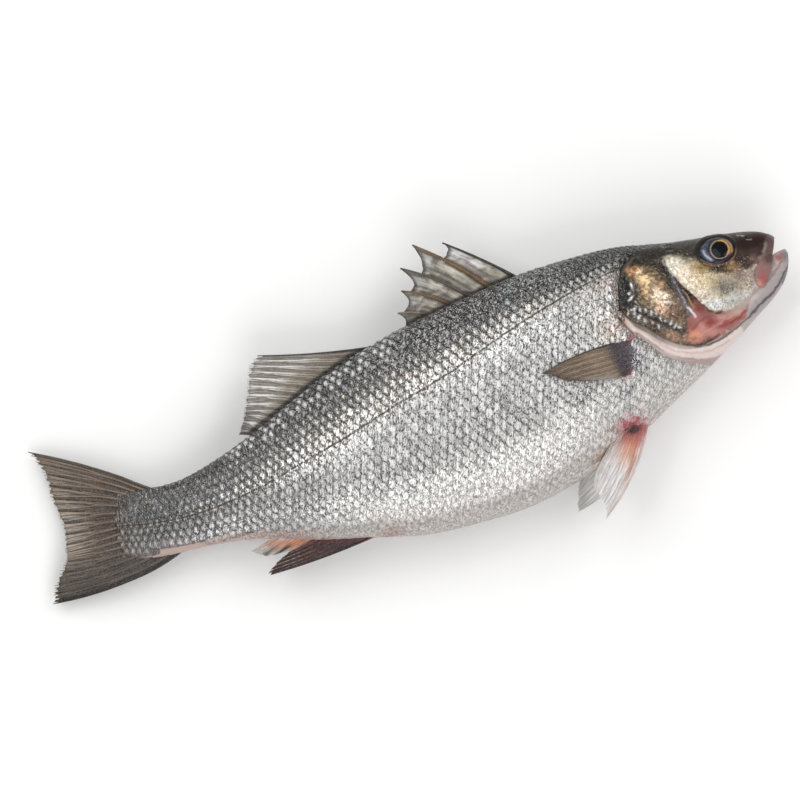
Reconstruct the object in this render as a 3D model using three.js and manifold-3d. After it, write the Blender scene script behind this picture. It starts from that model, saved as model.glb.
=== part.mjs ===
// A whole sea bass lying on its left flank: scaled body, head with gill cover and open
// mouth, two eyes, and eight fins, grown together as one closed solid.
// Millimetres. +X runs along the fish towards the snout, +Y towards the back, +Z up from the
// surface it lies on, out of the right flank. The origin is at the middle of the bottom of
// the bounding box.

import * as THREE from "three";
import { mergeVertices } from "three/addons/utils/BufferGeometryUtils.js";
import Module from "manifold-3d";

const wasm = await Module();
wasm.setup();

// ---- driving dimensions ----------------------------------------------------------------

const TOTAL_LENGTH = 450; // lower jaw to the longest tail ray
const DRAWN_LENGTH = 450; // the length at which every other value below is written
const SCALE = TOTAL_LENGTH / DRAWN_LENGTH;

const RESTING_FLAT = 1.6; // how far the left flank is pressed flat by the fish's weight
const DROOP = 25; // how far the tail sags towards the surface
const DROOP_FROM = -20; // x where the sag begins
const TAIL_TIP_X = -236;

const BEND_FROM = -129.5; // x where the tail stem starts to turn towards the back
const BEND_LENGTH = 55;
const BEND_ANGLE = THREE.MathUtils.degToRad(18);
const STEM_AXIS_Y = -4.1; // height of the tail stem's middle

// The body from tail stem to snout, before the tail is bent. wide is where, from belly (0)
// to back (1), the section is widest; back and belly are the exponents of its two halves,
// where 2 is an ellipse and more is squarer.
const SECTIONS = [
  { x: -190, top: 8, bottom: -15, half: 0.9, wide: 0.5, back: 2.0, belly: 2.0 },
  { x: -184, top: 13.4, bottom: -21, half: 1.5, wide: 0.5, back: 2.0, belly: 2.0 },
  { x: -173, top: 15, bottom: -23.6, half: 3.5, wide: 0.5, back: 2.0, belly: 2.0 },
  { x: -160, top: 14.8, bottom: -23.8, half: 6.2, wide: 0.5, back: 2.0, belly: 2.0 },
  { x: -146, top: 15.8, bottom: -23.7, half: 8.5, wide: 0.5, back: 2.0, belly: 2.0 },
  { x: -129.5, top: 18.4, bottom: -26.4, half: 10.8, wide: 0.5, back: 2.0, belly: 2.0 },
  { x: -110, top: 22.6, bottom: -32.6, half: 13.8, wide: 0.5, back: 2.0, belly: 2.0 },
  { x: -83, top: 30.8, bottom: -44.2, half: 18.8, wide: 0.5, back: 2.0, belly: 2.05 },
  { x: -55, top: 39.6, bottom: -53.5, half: 23.4, wide: 0.5, back: 2.0, belly: 2.1 },
  { x: -27.5, top: 45.8, bottom: -62, half: 27.4, wide: 0.5, back: 2.0, belly: 2.15 },
  { x: 0, top: 49.8, bottom: -66, half: 30.2, wide: 0.51, back: 2.05, belly: 2.2 },
  { x: 27.5, top: 51.8, bottom: -68, half: 31.4, wide: 0.52, back: 2.05, belly: 2.2 },
  { x: 55, top: 53.3, bottom: -65.3, half: 31.6, wide: 0.53, back: 2.05, belly: 2.2 },
  { x: 80, top: 53, bottom: -59.4, half: 31.0, wide: 0.54, back: 2.1, belly: 2.15 },
  { x: 105, top: 50.8, bottom: -51.2, half: 29.6, wide: 0.54, back: 2.15, belly: 2.1 },
  { x: 124, top: 48, bottom: -43.1, half: 27.8, wide: 0.54, back: 2.2, belly: 2.05 },
  { x: 140, top: 43.4, bottom: -36.5, half: 25.4, wide: 0.53, back: 2.3, belly: 2.0 },
  { x: 156, top: 39, bottom: -29.4, half: 22.4, wide: 0.52, back: 2.4, belly: 2.0 },
  { x: 171, top: 35.6, bottom: -22.6, half: 19.2, wide: 0.51, back: 2.5, belly: 2.0 },
  { x: 184, top: 32.8, bottom: -15.8, half: 16.2, wide: 0.5, back: 2.5, belly: 2.0 },
  { x: 195.5, top: 29.6, bottom: -10, half: 13, wide: 0.48, back: 2.4, belly: 2.0 },
  { x: 203.5, top: 25.8, bottom: -4.4, half: 10.4, wide: 0.46, back: 2.3, belly: 2.0 },
  { x: 208.5, top: 20.6, bottom: 1.4, half: 7.9, wide: 0.45, back: 2.2, belly: 2.0 },
  { x: 212, top: 13.4, bottom: 7.4, half: 4.2, wide: 0.45, back: 2.0, belly: 2.0 },
];
const SECTION_SIDES = 36;
const SECTION_STEP = { body: 9, head: 5 }; // distance between rings
const HEAD_FROM = 96;

// Gill cover: three thin plates that overlap like roof tiles, each an outline seen from the
// side and how far it stands out of the head.
const THROAT_SKIN = {
  raise: 0.9,
  outline: [
    [114, 14], [120, -4], [126, -12], [134.5, -20], [144, -25.5], [154, -27.2],
    [166, -22.5], [178, -15], [186, -9], [176, -4], [150, -6], [128, 6],
  ],
};
const GILL_COVER = {
  raise: 1.8,
  outline: [
    [132, 39.5], [125.5, 36.6], [120, 31], [116.2, 22.8], [114.6, 14.4], [117.6, 7],
    [123.6, 1], [131, -8.6], [139.6, -15.9], [149, -19.4], [160, -18], [168, -11],
    [160, 6], [156, 22], [150, 36], [142, 40],
  ],
};
const CHEEK = {
  raise: 2.9,
  fadeFrom: 156, // x where the cheek begins to run out into the snout
  fadeTo: 190,
  outline: [
    [147.2, 35.6], [149.6, 19.5], [153, 9], [156.8, -0.6], [160, -4.8], [165, -6.2],
    [174, -4.4], [186, 2], [196, 10], [196, 16], [176, 22], [160, 30], [152, 35.5],
  ],
};

const MOUTH_NOTCH = [
  [219, 25.4], [208, 20.6], [206, 16.6], [203.4, 12.4], [206.5, 13], [210.4, 13.2],
  [219, 11.6],
];
const LIP_GROOVE = {
  depth: 2.4,
  outline: [
    [203.2, 10.8], [199, 5.4], [190.6, -1.4], [180, -8.6], [180.6, -9.8], [191.8, -3.2],
    [201.4, 4.2], [205, 9.6],
  ],
};

const EYE = {
  x: 177.4,
  y: 26.6,
  radius: 8.6,
  bulge: 4.2, // height of the dome above its own middle plane
  sink: 1.2, // how deep that plane lies in the head
  tilt: THREE.MathUtils.degToRad(33), // how far the eye looks towards the back
};

const WEB_THICKNESS = 0.6; // of a fin's web, as a share of its rays' thickness

// ---- interpolation -----------------------------------------------------------------------

const lerp = THREE.MathUtils.lerp;
const clamp01 = (t) => Math.min(1, Math.max(0, t));
const smoothstep = (t) => clamp01(t) ** 2 * (3 - 2 * clamp01(t));

// A smooth curve through the values of evenly or unevenly spaced stations.
function hermite(xs, ys, x) {
  const last = xs.length - 1;
  if (x <= xs[0]) return ys[0];
  if (x >= xs[last]) return ys[last];
  let i = 0;
  while (x > xs[i + 1]) i++;
  const slope = (k) => {
    const a = Math.max(0, k - 1);
    const b = Math.min(last, k + 1);
    return (ys[b] - ys[a]) / (xs[b] - xs[a]);
  };
  const span = xs[i + 1] - xs[i];
  const t = (x - xs[i]) / span;
  const rise = t * t * (3 - 2 * t);
  const leave = t * (1 - t) ** 2 * span * slope(i);
  const arrive = t * t * (t - 1) * span * slope(i + 1);
  return lerp(ys[i], ys[i + 1], rise) + leave + arrive;
}

const SECTION_XS = SECTIONS.map((s) => s.x);

function sectionAt(x) {
  const section = {};
  for (const key of ["top", "bottom", "half", "wide", "back", "belly"]) {
    section[key] = hermite(SECTION_XS, SECTIONS.map((s) => s[key]), x);
  }
  return section;
}

// A point of a hand-drawn line of [x, y] points, at share t of its length.
function pointOnLine(points, t) {
  const curve = new THREE.SplineCurve(points.map(([x, y]) => new THREE.Vector2(x, y)));
  return curve.getPoint(clamp01(t));
}

// ---- how the fish lies -------------------------------------------------------------------

const WIDEST = Math.max(...SECTIONS.map((s) => s.half));
const MIDDLE_Z = WIDEST - RESTING_FLAT; // the plane of symmetry, above the surface

function middleZ(x) {
  const t = clamp01((DROOP_FROM - x) / (DROOP_FROM - TAIL_TIP_X));
  return MIDDLE_Z - DROOP * t * t;
}

// Bends the straight tail stem along an arc towards the back, and lets the tail sag.
function lay(x, y, z) {
  const radius = BEND_LENGTH / BEND_ANGLE;
  const past = BEND_FROM - x;
  if (past <= 0) return [x, y, z + middleZ(x)];
  const angle = Math.min(past / radius, BEND_ANGLE);
  const straight = Math.max(0, past - BEND_LENGTH);
  const out = y - STEM_AXIS_Y;
  const bentX =
    BEND_FROM - radius * Math.sin(angle) - straight * Math.cos(angle) + out * Math.sin(angle);
  const bentY =
    STEM_AXIS_Y + radius * (1 - Math.cos(angle)) + straight * Math.sin(angle) +
    out * Math.cos(angle);
  return [bentX, bentY, z + middleZ(x)];
}

// ---- solids ------------------------------------------------------------------------------

// A closed solid from three.js geometry.
function solid(geometry) {
  const bare = geometry.index ? geometry.toNonIndexed() : geometry.clone();
  bare.deleteAttribute("normal");
  bare.deleteAttribute("uv");
  const merged = mergeVertices(bare, 1e-4);
  const mesh = new wasm.Mesh({
    numProp: 3,
    vertProperties: merged.attributes.position.array,
    triVerts: new Uint32Array(merged.index.array),
  });
  return new wasm.Manifold(mesh);
}

function geometryOf(made) {
  const mesh = made.getMesh();
  const geometry = new THREE.BufferGeometry();
  geometry.setAttribute("position", new THREE.BufferAttribute(mesh.vertProperties, 3));
  geometry.setIndex(new THREE.BufferAttribute(mesh.triVerts, 1));
  return geometry;
}

function trianglesToSolid(points, triangles) {
  const geometry = new THREE.BufferGeometry();
  geometry.setAttribute("position", new THREE.Float32BufferAttribute(points.flat(), 3));
  geometry.setIndex(triangles.flat());
  return solid(geometry);
}

// A shape seen from the side, run right through the fish.
function through(outline) {
  const shape = new THREE.Shape(outline.map(([x, y]) => new THREE.Vector2(x, y)));
  const depth = 4 * WIDEST;
  const geometry = new THREE.ExtrudeGeometry(shape, { depth, bevelEnabled: false });
  geometry.translate(0, 0, MIDDLE_Z - depth / 2);
  return solid(geometry);
}

// ---- body --------------------------------------------------------------------------------

// One point of the body's skin. angle runs from the back (0) over the right flank to the
// belly (PI) and up the left flank. raise moves the skin outwards.
function skinPoint(x, angle, raise) {
  const s = sectionAt(x);
  const widestY = lerp(s.bottom, s.top, s.wide);
  const upper = Math.cos(angle) >= 0;
  const reach = (upper ? s.top - widestY : widestY - s.bottom) + raise;
  const power = 2 / (upper ? s.back : s.belly);
  const y = widestY + Math.sign(Math.cos(angle)) * reach * Math.abs(Math.cos(angle)) ** power;
  const side = Math.sign(Math.sin(angle));
  const z = side * (s.half + raise) * Math.abs(Math.sin(angle)) ** power;
  return [x, y, z];
}

function ringPositions(from, to) {
  const xs = [from];
  while (xs.at(-1) < to) {
    const head = smoothstep((xs.at(-1) - HEAD_FROM) / 20);
    xs.push(xs.at(-1) + lerp(SECTION_STEP.body, SECTION_STEP.head, head));
  }
  const stretch = (to - from) / (xs.at(-1) - from);
  return xs.map((x) => from + (x - from) * stretch);
}

// The skin between two positions, closed at both ends. raise(x) is how far it stands out.
function bodySolid(raise = () => 0, from = SECTION_XS[0], to = SECTION_XS.at(-1)) {
  const xs = ringPositions(from, to);
  const points = [];
  for (const x of xs) {
    for (let k = 0; k < SECTION_SIDES; k++) {
      points.push(lay(...skinPoint(x, (2 * Math.PI * k) / SECTION_SIDES, raise(x))));
    }
  }
  const triangles = [];
  for (let i = 0; i + 1 < xs.length; i++) {
    for (let k = 0; k < SECTION_SIDES; k++) {
      const a = i * SECTION_SIDES + k;
      const b = i * SECTION_SIDES + ((k + 1) % SECTION_SIDES);
      triangles.push([a, b, a + SECTION_SIDES], [b, b + SECTION_SIDES, a + SECTION_SIDES]);
    }
  }
  for (const [x, ring, turn] of [[xs[0], 0, true], [xs.at(-1), xs.length - 1, false]]) {
    const s = sectionAt(x);
    const centre = points.push(lay(x, lerp(s.bottom, s.top, s.wide), 0)) - 1;
    for (let k = 0; k < SECTION_SIDES; k++) {
      const a = ring * SECTION_SIDES + k;
      const b = ring * SECTION_SIDES + ((k + 1) % SECTION_SIDES);
      triangles.push(turn ? [centre, b, a] : [centre, a, b]);
    }
  }
  return trianglesToSolid(points, triangles);
}

// How far the flank stands out of the plane of symmetry at a point seen from the side.
function flankHeight(x, y) {
  const s = sectionAt(x);
  const widestY = lerp(s.bottom, s.top, s.wide);
  const upper = y >= widestY;
  const power = upper ? s.back : s.belly;
  const share = (y - widestY) / (upper ? s.top - widestY : widestY - s.bottom);
  return s.half * Math.max(0, 1 - Math.abs(share) ** power) ** (1 / power);
}

function plate({ raise, outline, fadeFrom = Infinity, fadeTo = Infinity }) {
  const xs = outline.map((p) => p[0]);
  const standsOut = (x) =>
    raise * (x > fadeFrom ? 1 - smoothstep((x - fadeFrom) / (fadeTo - fadeFrom)) : 1);
  const skin = bodySolid(standsOut, Math.min(...xs) - 2, Math.max(...xs) + 2);
  return skin.intersect(through(outline));
}

function lipGroove() {
  const xs = LIP_GROOVE.outline.map((p) => p[0]);
  const core = bodySolid(() => -LIP_GROOVE.depth, Math.min(...xs) - 6, Math.max(...xs) - 4);
  return through(LIP_GROOVE.outline).subtract(core);
}

// side is 1 for the right eye and -1 for the left.
function eyeDome(side) {
  const ball = new THREE.SphereGeometry(EYE.radius, 20, 10);
  ball.scale(1, 1, EYE.bulge / EYE.radius);
  ball.rotateX(-EYE.tilt * side);
  const surface = flankHeight(EYE.x, EYE.y);
  const out = new THREE.Vector2(Math.sin(EYE.tilt), Math.cos(EYE.tilt));
  const y = EYE.y - EYE.sink * out.x;
  const z = (surface - EYE.sink * out.y) * side;
  ball.translate(...lay(EYE.x, y, z));
  return solid(ball);
}

// ---- fins --------------------------------------------------------------------------------

// A fin is a web of skin between rays. root and edge are lines of [x, y] points, the root
// in the body and the edge where the rays end. bow bends the first and the last ray
// sideways, as a share of their length. gap lists the columns of one gap between two rays:
// where the column stands, and how far the web there falls short of the rays' tips, as a
// share of their length. height(x, y, share, t) is where the middle of the fin lies above
// the plane of symmetry.
function fin({ root, edge, bow, rays, gap, thick, rows, height }) {
  const columns = [];
  for (let k = 0; k + 1 < rays; k++) {
    for (const [at, cut] of gap) columns.push([(k + at) / (rays - 1), cut]);
  }
  columns.push([1, 0]);
  const faces = [[], []];
  for (const [t, cut] of columns) {
    const start = pointOnLine(root, t);
    const end = pointOnLine(edge, t);
    const side = end.clone().sub(start).rotateAround(new THREE.Vector2(), Math.PI / 2);
    const relief = cut > 0 ? WEB_THICKNESS : 1;
    for (let r = 0; r <= rows; r++) {
      const share = (r / rows) * (1 - cut);
      const arc = 4 * share * (1 - share) * lerp(bow[0], bow[1], t);
      const point = start.clone().lerp(end, share).addScaledVector(side, arc);
      const z = height(point.x, point.y, share, t);
      const half = (thick / 2) * relief * lerp(1, 0.5, share);
      faces[0].push(lay(point.x, point.y, z + half));
      faces[1].push(lay(point.x, point.y, z - half));
    }
  }
  return webSolid(faces, columns.length, rows + 1);
}

// Closes two like grids of points, the upper and the lower face, into one thin solid.
function webSolid([upper, lower], columns, rows) {
  const points = [...upper, ...lower];
  const under = upper.length;
  const triangles = [];
  const quad = (a, b, c, d) => triangles.push([a, b, c], [a, c, d]);
  for (let c = 0; c + 1 < columns; c++) {
    for (let r = 0; r + 1 < rows; r++) {
      const a = c * rows + r;
      quad(a, a + rows, a + rows + 1, a + 1);
      quad(under + a, under + a + 1, under + a + rows + 1, under + a + rows);
    }
    const foot = c * rows;
    quad(foot, under + foot, under + foot + rows, foot + rows);
    const tip = foot + rows - 1;
    quad(tip, tip + rows, under + tip + rows, under + tip);
  }
  for (let r = 0; r + 1 < rows; r++) {
    quad(r, r + 1, under + r + 1, under + r);
    const b = (columns - 1) * rows + r;
    quad(b, under + b, under + b + 1, b + 1);
  }
  const made = trianglesToSolid(points, triangles);
  return made.volume() > 0 ? made : trianglesToSolid(points, triangles.map((t) => t.reverse()));
}

function spinyDorsalFin() {
  return fin({
    root: [[70, 50], [55.1, 48.6], [42.8, 48.7], [32, 48.2], [22, 47.4], [4, 45]],
    edge: [[36.2, 85.9], [20.3, 90.8], [9.5, 81.1], [5.5, 69.1], [-0.8, 58.3], [0.2, 49.6]],
    bow: [-0.02, -0.08],
    rays: 6,
    gap: [[0, 0], [0.35, 0.13], [0.75, 0.24], [0.97, 0.3]],
    thick: 2.2,
    rows: 5,
    height: (x, y, share, t) => 1.2 * Math.sin(9 * t) * share,
  });
}

function softDorsalFin() {
  return fin({
    root: [[-19, 43], [-42, 38.5], [-62, 33.5], [-80, 28.5], [-96, 22.5]],
    edge: [[-81.4, 65.6], [-89.4, 58.6], [-93.4, 50], [-97.6, 41.4], [-103, 31.6]],
    bow: [-0.02, -0.05],
    rays: 13,
    gap: [[0, 0], [0.5, 0.04]],
    thick: 1.6,
    rows: 4,
    height: (x, y, share) => -2.5 * share * share,
  });
}

function analFin() {
  return fin({
    root: [[-54, -49], [-68, -46], [-82, -41], [-94, -35], [-104, -31]],
    edge: [
      [-118.6, -50.4], [-119.2, -48.4], [-112, -44.7], [-104.6, -41.9], [-116.6, -40.2],
      [-124, -34.5],
    ],
    bow: [0.06, 0],
    rays: 12,
    gap: [[0, 0], [0.5, 0.04]],
    thick: 1.6,
    rows: 5,
    height: (x, y, share, t) => -4 * share * t,
  });
}

function tailFin() {
  return fin({
    root: [[-162, 12], [-178, 9], [-184, -4], [-178, -17], [-156, -22]],
    edge: [
      [-236.2, 39.8], [-229.1, 28.8], [-224.6, 12.9], [-219.1, -3], [-218.6, -15.9],
      [-219, -21.8], [-225.8, -35.6], [-227.4, -45.1],
    ],
    bow: [-0.03, 0.065],
    rays: 17,
    gap: [[0, 0], [0.5, 0.03]],
    thick: 2.2,
    rows: 6,
    height: (x, y, share, t) => 0.8 * Math.sin(11 * t) * share,
  });
}

// side is 1 for the right fin and -1 for the left.
function pelvicFin(side) {
  const right = side > 0;
  return fin({
    root: right ? [[105, -48], [101, -47], [95, -46.5]] : [[102, -48], [97, -47], [91, -46.5]],
    edge: right
      ? [[64.4, -89.4], [66.6, -83.4], [65.4, -76], [64.8, -71], [66.4, -66.6]]
      : [[58, -79.6], [51.4, -80], [54.4, -73.4], [56.5, -68.6], [60.4, -63]],
    bow: [0.12, right ? -0.06 : 0],
    rays: 6,
    gap: [[0, 0], [0.35, 0.02], [0.7, 0.02]],
    thick: 1.6,
    rows: 5,
    height: (x, y, share, t) => side * (8 + 5 * share - 4 * share * t),
  });
}

function pectoralFin(side) {
  const right = side > 0;
  const lift = right ? 3.4 : 1.1;
  return fin({
    root: right
      ? [[117.4, -3], [115, -9], [111.4, -16], [108.6, -20.4]]
      : [[117.4, -8], [114, -13], [109, -18.5], [105, -21]],
    edge: right
      ? [[63, -2.4], [64, -3.2], [70, -9], [79, -14.4], [88, -17.4]]
      : [[72, -40], [71, -43], [74, -47], [82, -48.6], [91, -43]],
    bow: [-0.05, 0.03],
    rays: 9,
    gap: [[0, 0], [0.5, 0.02]],
    thick: 1.5,
    rows: 5,
    height: (x, y, share) => side * (flankHeight(x, y) - 0.6 + lift * Math.sqrt(share)),
  });
}

// ---- the fish ----------------------------------------------------------------------------

// Fills the small hollows that a fin lying on the skin seals, and drops loose scraps.
function largestBody(made) {
  const bodies = made.decompose();
  return bodies.reduce((best, body) => (body.volume() > best.volume() ? body : best));
}

function wholeFish() {
  const pieces = [
    plate(THROAT_SKIN),
    plate(GILL_COVER),
    plate(CHEEK),
    eyeDome(1),
    eyeDome(-1),
    spinyDorsalFin(),
    softDorsalFin(),
    analFin(),
    tailFin(),
    pelvicFin(1),
    pelvicFin(-1),
    pectoralFin(1),
    pectoralFin(-1),
  ];
  const joined = pieces.reduce((sum, piece) => sum.add(piece), bodySolid());
  const opened = joined.subtract(through(MOUTH_NOTCH)).subtract(lipGroove());
  const table = new THREE.BoxGeometry(3 * TOTAL_LENGTH, TOTAL_LENGTH, 40);
  table.translate(0, 0, -20);
  return largestBody(opened.subtract(solid(table)));
}

const skin = new THREE.MeshStandardMaterial({
  color: 0x9a9c98,
  roughness: 0.35,
  metalness: 0.45,
});

const geometry = geometryOf(wholeFish());
geometry.scale(SCALE, SCALE, SCALE);
geometry.computeBoundingBox();
const box = geometry.boundingBox;
geometry.translate(-(box.min.x + box.max.x) / 2, -(box.min.y + box.max.y) / 2, -box.min.z);

const seaBass = new THREE.Mesh(geometry, skin);
seaBass.name = "sea_bass";

const fish = new THREE.Group();
fish.add(seaBass);

export default fish;
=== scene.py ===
# %% [markdown]
# # A whole sea bass
# This fish lies on its left flank, seen from straight above. It is one soft body covered in
# hundreds of stiff scales, with a bare bony head and eight fins. The body could be sculpted by
# hand, but a fish is easier to get right as a stack of cross-sections along its length, so the
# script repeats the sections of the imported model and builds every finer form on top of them.

import bpy
import numpy as np
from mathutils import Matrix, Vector, noise


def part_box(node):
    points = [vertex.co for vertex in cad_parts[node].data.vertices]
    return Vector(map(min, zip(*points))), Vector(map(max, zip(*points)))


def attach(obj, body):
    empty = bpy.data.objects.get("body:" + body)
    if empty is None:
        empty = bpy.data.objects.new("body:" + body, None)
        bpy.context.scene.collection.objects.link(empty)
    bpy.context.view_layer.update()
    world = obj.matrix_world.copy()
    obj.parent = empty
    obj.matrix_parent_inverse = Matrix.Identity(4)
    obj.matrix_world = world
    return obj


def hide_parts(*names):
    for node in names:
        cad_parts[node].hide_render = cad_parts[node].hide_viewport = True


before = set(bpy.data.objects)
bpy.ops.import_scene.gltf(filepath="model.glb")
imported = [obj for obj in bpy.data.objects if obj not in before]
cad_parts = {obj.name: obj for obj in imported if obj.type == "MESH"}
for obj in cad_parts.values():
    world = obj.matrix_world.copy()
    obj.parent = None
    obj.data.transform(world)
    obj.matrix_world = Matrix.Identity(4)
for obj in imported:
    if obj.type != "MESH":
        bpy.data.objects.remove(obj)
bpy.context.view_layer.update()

# %% [markdown]
# ## Measures
# The fish is drawn in millimetres on a straight line along X, and laid down afterwards, so the
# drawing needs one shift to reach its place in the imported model. The jaw tip and the longest
# fin spine touch the sides of the box, which gives that shift without any fitting.

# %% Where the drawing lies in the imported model
MM = 0.001
JAW_TIP_X = 212.0
LONGEST_SPINE_Y = 90.8
low_corner, high_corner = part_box("sea_bass")
SHIFT = np.array([high_corner.x / MM - JAW_TIP_X, high_corner.y / MM - LONGEST_SPINE_Y, 0.0])
print("shift of the drawing, mm", SHIFT.round(3))

# %% [markdown]
# ## Camera
# The photograph looks straight down, with the fish turned 21.5 degrees in the picture. A short
# lens close by would draw the thick head too large, so a long lens is put far away.

# %% Camera
CAMERA_TURN = np.radians(-21.5)
PICTURE_WIDTH = 441.2 * MM
PICTURE_MIDDLE = Vector((-4.12 * MM, 12.59 * MM, 30 * MM))
LENS, FILM = 600.0, 36.0

bpy.ops.object.select_all(action="DESELECT")
distance = PICTURE_WIDTH * LENS / FILM
bpy.ops.object.camera_add(
    location=PICTURE_MIDDLE + Vector((0, 0, distance)), rotation=(0, 0, CAMERA_TURN)
)
camera = bpy.context.object
camera.data.lens, camera.data.sensor_width = LENS, FILM
camera.data.clip_end = 20
bpy.context.scene.camera = camera
print("camera", round(distance, 3), "m above the fish")

# %% [markdown]
# ## Light and floor
# Wet skin mirrors its lamps, and a single hard lamp would burn white spots into it. So three
# wide soft boxes stand at the back, the belly and the head of the fish, a bright sky fills the
# shadows, and one small lamp gives the scales their sparkle. The floor is a plain white board
# just under the fish.

# %% Lamps, sky and floor
LAMPS = [  # name, place and size in metres, power in watts
    ("soft_box_back", (-0.25, 0.95, 1.15), 1.2, 9.0),
    ("soft_box_belly", (-0.1, -0.95, 1.0), 1.2, 8.5),
    ("soft_box_head", (0.95, 0.25, 1.0), 0.8, 4.2),
    ("sparkle", (-0.5, 0.25, 1.5), 0.3, 1.5),
]
SKY_COLOUR, SKY_STRENGTH = (0.97, 0.965, 0.955, 1), 0.42
BOARD_COLOUR, BOARD_ROUGHNESS = (0.96, 0.96, 0.96, 1), 0.9
BOARD_SIZE, BOARD_TOP = 6, -0.0004

for name, place, size, power in LAMPS:
    bpy.ops.object.light_add(type="AREA", location=place)
    lamp = bpy.context.object
    lamp.name = name
    lamp.rotation_euler = (PICTURE_MIDDLE - Vector(place)).to_track_quat("-Z", "Y").to_euler()
    lamp.data.size, lamp.data.energy = size, power
    lamp.visible_camera = False

sky = bpy.data.worlds.new("studio_sky")
sky.use_nodes = True
light = sky.node_tree.nodes["Background"].inputs
light["Color"].default_value, light["Strength"].default_value = SKY_COLOUR, SKY_STRENGTH
bpy.context.scene.world = sky
bpy.context.scene.view_settings.view_transform = "Standard"

bpy.ops.mesh.primitive_plane_add(size=BOARD_SIZE, location=(0, 0, BOARD_TOP))
floor = bpy.context.object
floor.name = "floor"
white = bpy.data.materials.new("white_board")
white.use_nodes = True
matt = white.node_tree.nodes["Principled BSDF"].inputs
matt["Base Color"].default_value, matt["Roughness"].default_value = BOARD_COLOUR, BOARD_ROUGHNESS
floor.data.materials.append(white)
print(len(LAMPS), "lamps, a sky and a board of", BOARD_SIZE, "m")

# %% [markdown]
# ## The body's sections
# Each row is one slice through the straightened fish: where it is along the body, the height
# of the back and of the belly, half the thickness, where it is widest, and how square its
# upper and lower halves are. Between rows the values follow a smooth curve.

# %% Slices from tail to snout
SECTIONS = np.array(
    [
        (-190, 12.6, -19.6, 0.4, 0.50, 2, 2), (-184, 14.6, -22.4, 1.2, 0.50, 2, 2),
        (-173, 15, -23.6, 3.5, 0.50, 2, 2), (-160, 14.8, -23.8, 6.2, 0.50, 2, 2),
        (-146, 15.8, -23.7, 8.5, 0.50, 2, 2), (-129.5, 18.4, -26.4, 10.8, 0.50, 2, 2),
        (-110, 22.6, -32.6, 13.8, 0.50, 2, 2), (-83, 30.8, -44.2, 18.8, 0.50, 2, 2.05),
        (-55, 39.6, -53.5, 23.4, 0.50, 2, 2.1), (-27.5, 45.8, -62, 27.4, 0.50, 2, 2.15),
        (0, 49.8, -66, 30.2, 0.51, 2.05, 2.2), (27.5, 51.8, -68, 31.4, 0.52, 2.05, 2.2),
        (55, 53.3, -65.3, 31.6, 0.53, 2.05, 2.2), (80, 53, -59.4, 31, 0.54, 2.1, 2.15),
        (105, 50.8, -51.2, 29.6, 0.54, 2.15, 2.1), (124, 48, -43.1, 27.8, 0.54, 2.2, 2.05),
        (140, 43.4, -36.5, 25.4, 0.53, 2.3, 2), (156, 39, -29.4, 22.4, 0.52, 2.4, 2),
        (171, 35.6, -22.6, 19.2, 0.51, 2.5, 2), (184, 32.8, -15.8, 16.2, 0.50, 2.5, 2),
        (195.5, 29.6, -10, 13, 0.48, 2.4, 2), (203.5, 25.8, -4.4, 10.4, 0.46, 2.3, 2),
        (208.5, 20.6, 1.4, 7.9, 0.45, 2.2, 2), (212, 13.4, 7.4, 4.2, 0.45, 2, 2),
    ]
)
TOP, BOTTOM, HALF, WIDE, BACK, BELLY = range(1, 7)
print(len(SECTIONS), "slices, thickest half of the body, mm", SECTIONS[:, HALF].max())

# %% [markdown]
# Every later piece asks where the skin is, and how far the flank stands out. The answers come
# from the slices: each half of a slice is an oval whose squareness is a power.

# %% The skin of the straight fish


def smooth_value(stations, values, x):
    """The value at x on a smooth curve through the stations."""
    stations, values = np.asarray(stations, float), np.asarray(values, float)
    slope = np.gradient(values)
    slope[1:-1] = (values[2:] - values[:-2]) / (stations[2:] - stations[:-2])
    slope[0] = (values[1] - values[0]) / (stations[1] - stations[0])
    slope[-1] = (values[-1] - values[-2]) / (stations[-1] - stations[-2])
    x = np.clip(x, stations[0], stations[-1])
    i = np.clip(np.searchsorted(stations, x) - 1, 0, len(stations) - 2)
    span = stations[i + 1] - stations[i]
    t = (x - stations[i]) / span
    rise = t * t * (3 - 2 * t)
    leave = t * (1 - t) ** 2 * span * slope[i]
    arrive = t * t * (t - 1) * span * slope[i + 1]
    return values[i] + (values[i + 1] - values[i]) * rise + leave + arrive


def section(x, column):
    """One measure of the slice at x."""
    return smooth_value(SECTIONS[:, 0], SECTIONS[:, column], x)


def ease(t):
    """Runs gently from 0 to 1."""
    t = np.clip(t, 0, 1)
    return t * t * (3 - 2 * t)


def skin_point(x, angle, lift):
    """A point of the straight fish, lifted off its skin.

    Angle 0 is the back, half a turn is the belly.
    """
    top, bottom = section(x, TOP), section(x, BOTTOM)
    widest = bottom + (top - bottom) * section(x, WIDE)
    cosine, sine = np.cos(angle), np.sin(angle)
    upper = cosine >= 0
    power = 2 / np.where(upper, section(x, BACK), section(x, BELLY))
    reach = np.where(upper, top - widest, widest - bottom) + lift
    y = widest + np.sign(cosine) * reach * np.abs(cosine) ** power
    z = np.sign(sine) * (section(x, HALF) + lift) * np.abs(sine) ** power
    return x + 0 * y, y, z


def flank_height(x, y):
    """How far the flank stands out of the plane of symmetry at a place seen from the side."""
    top, bottom = section(x, TOP), section(x, BOTTOM)
    widest = bottom + (top - bottom) * section(x, WIDE)
    upper = y >= widest
    power = np.where(upper, section(x, BACK), section(x, BELLY))
    share = np.abs(y - widest) / np.where(upper, top - widest, widest - bottom)
    return section(x, HALF) * np.maximum(0, 1 - share**power) ** (1 / power)


print("height of the flank in the middle of the fish, mm", flank_height(0.0, 0.0).round(2))

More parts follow.
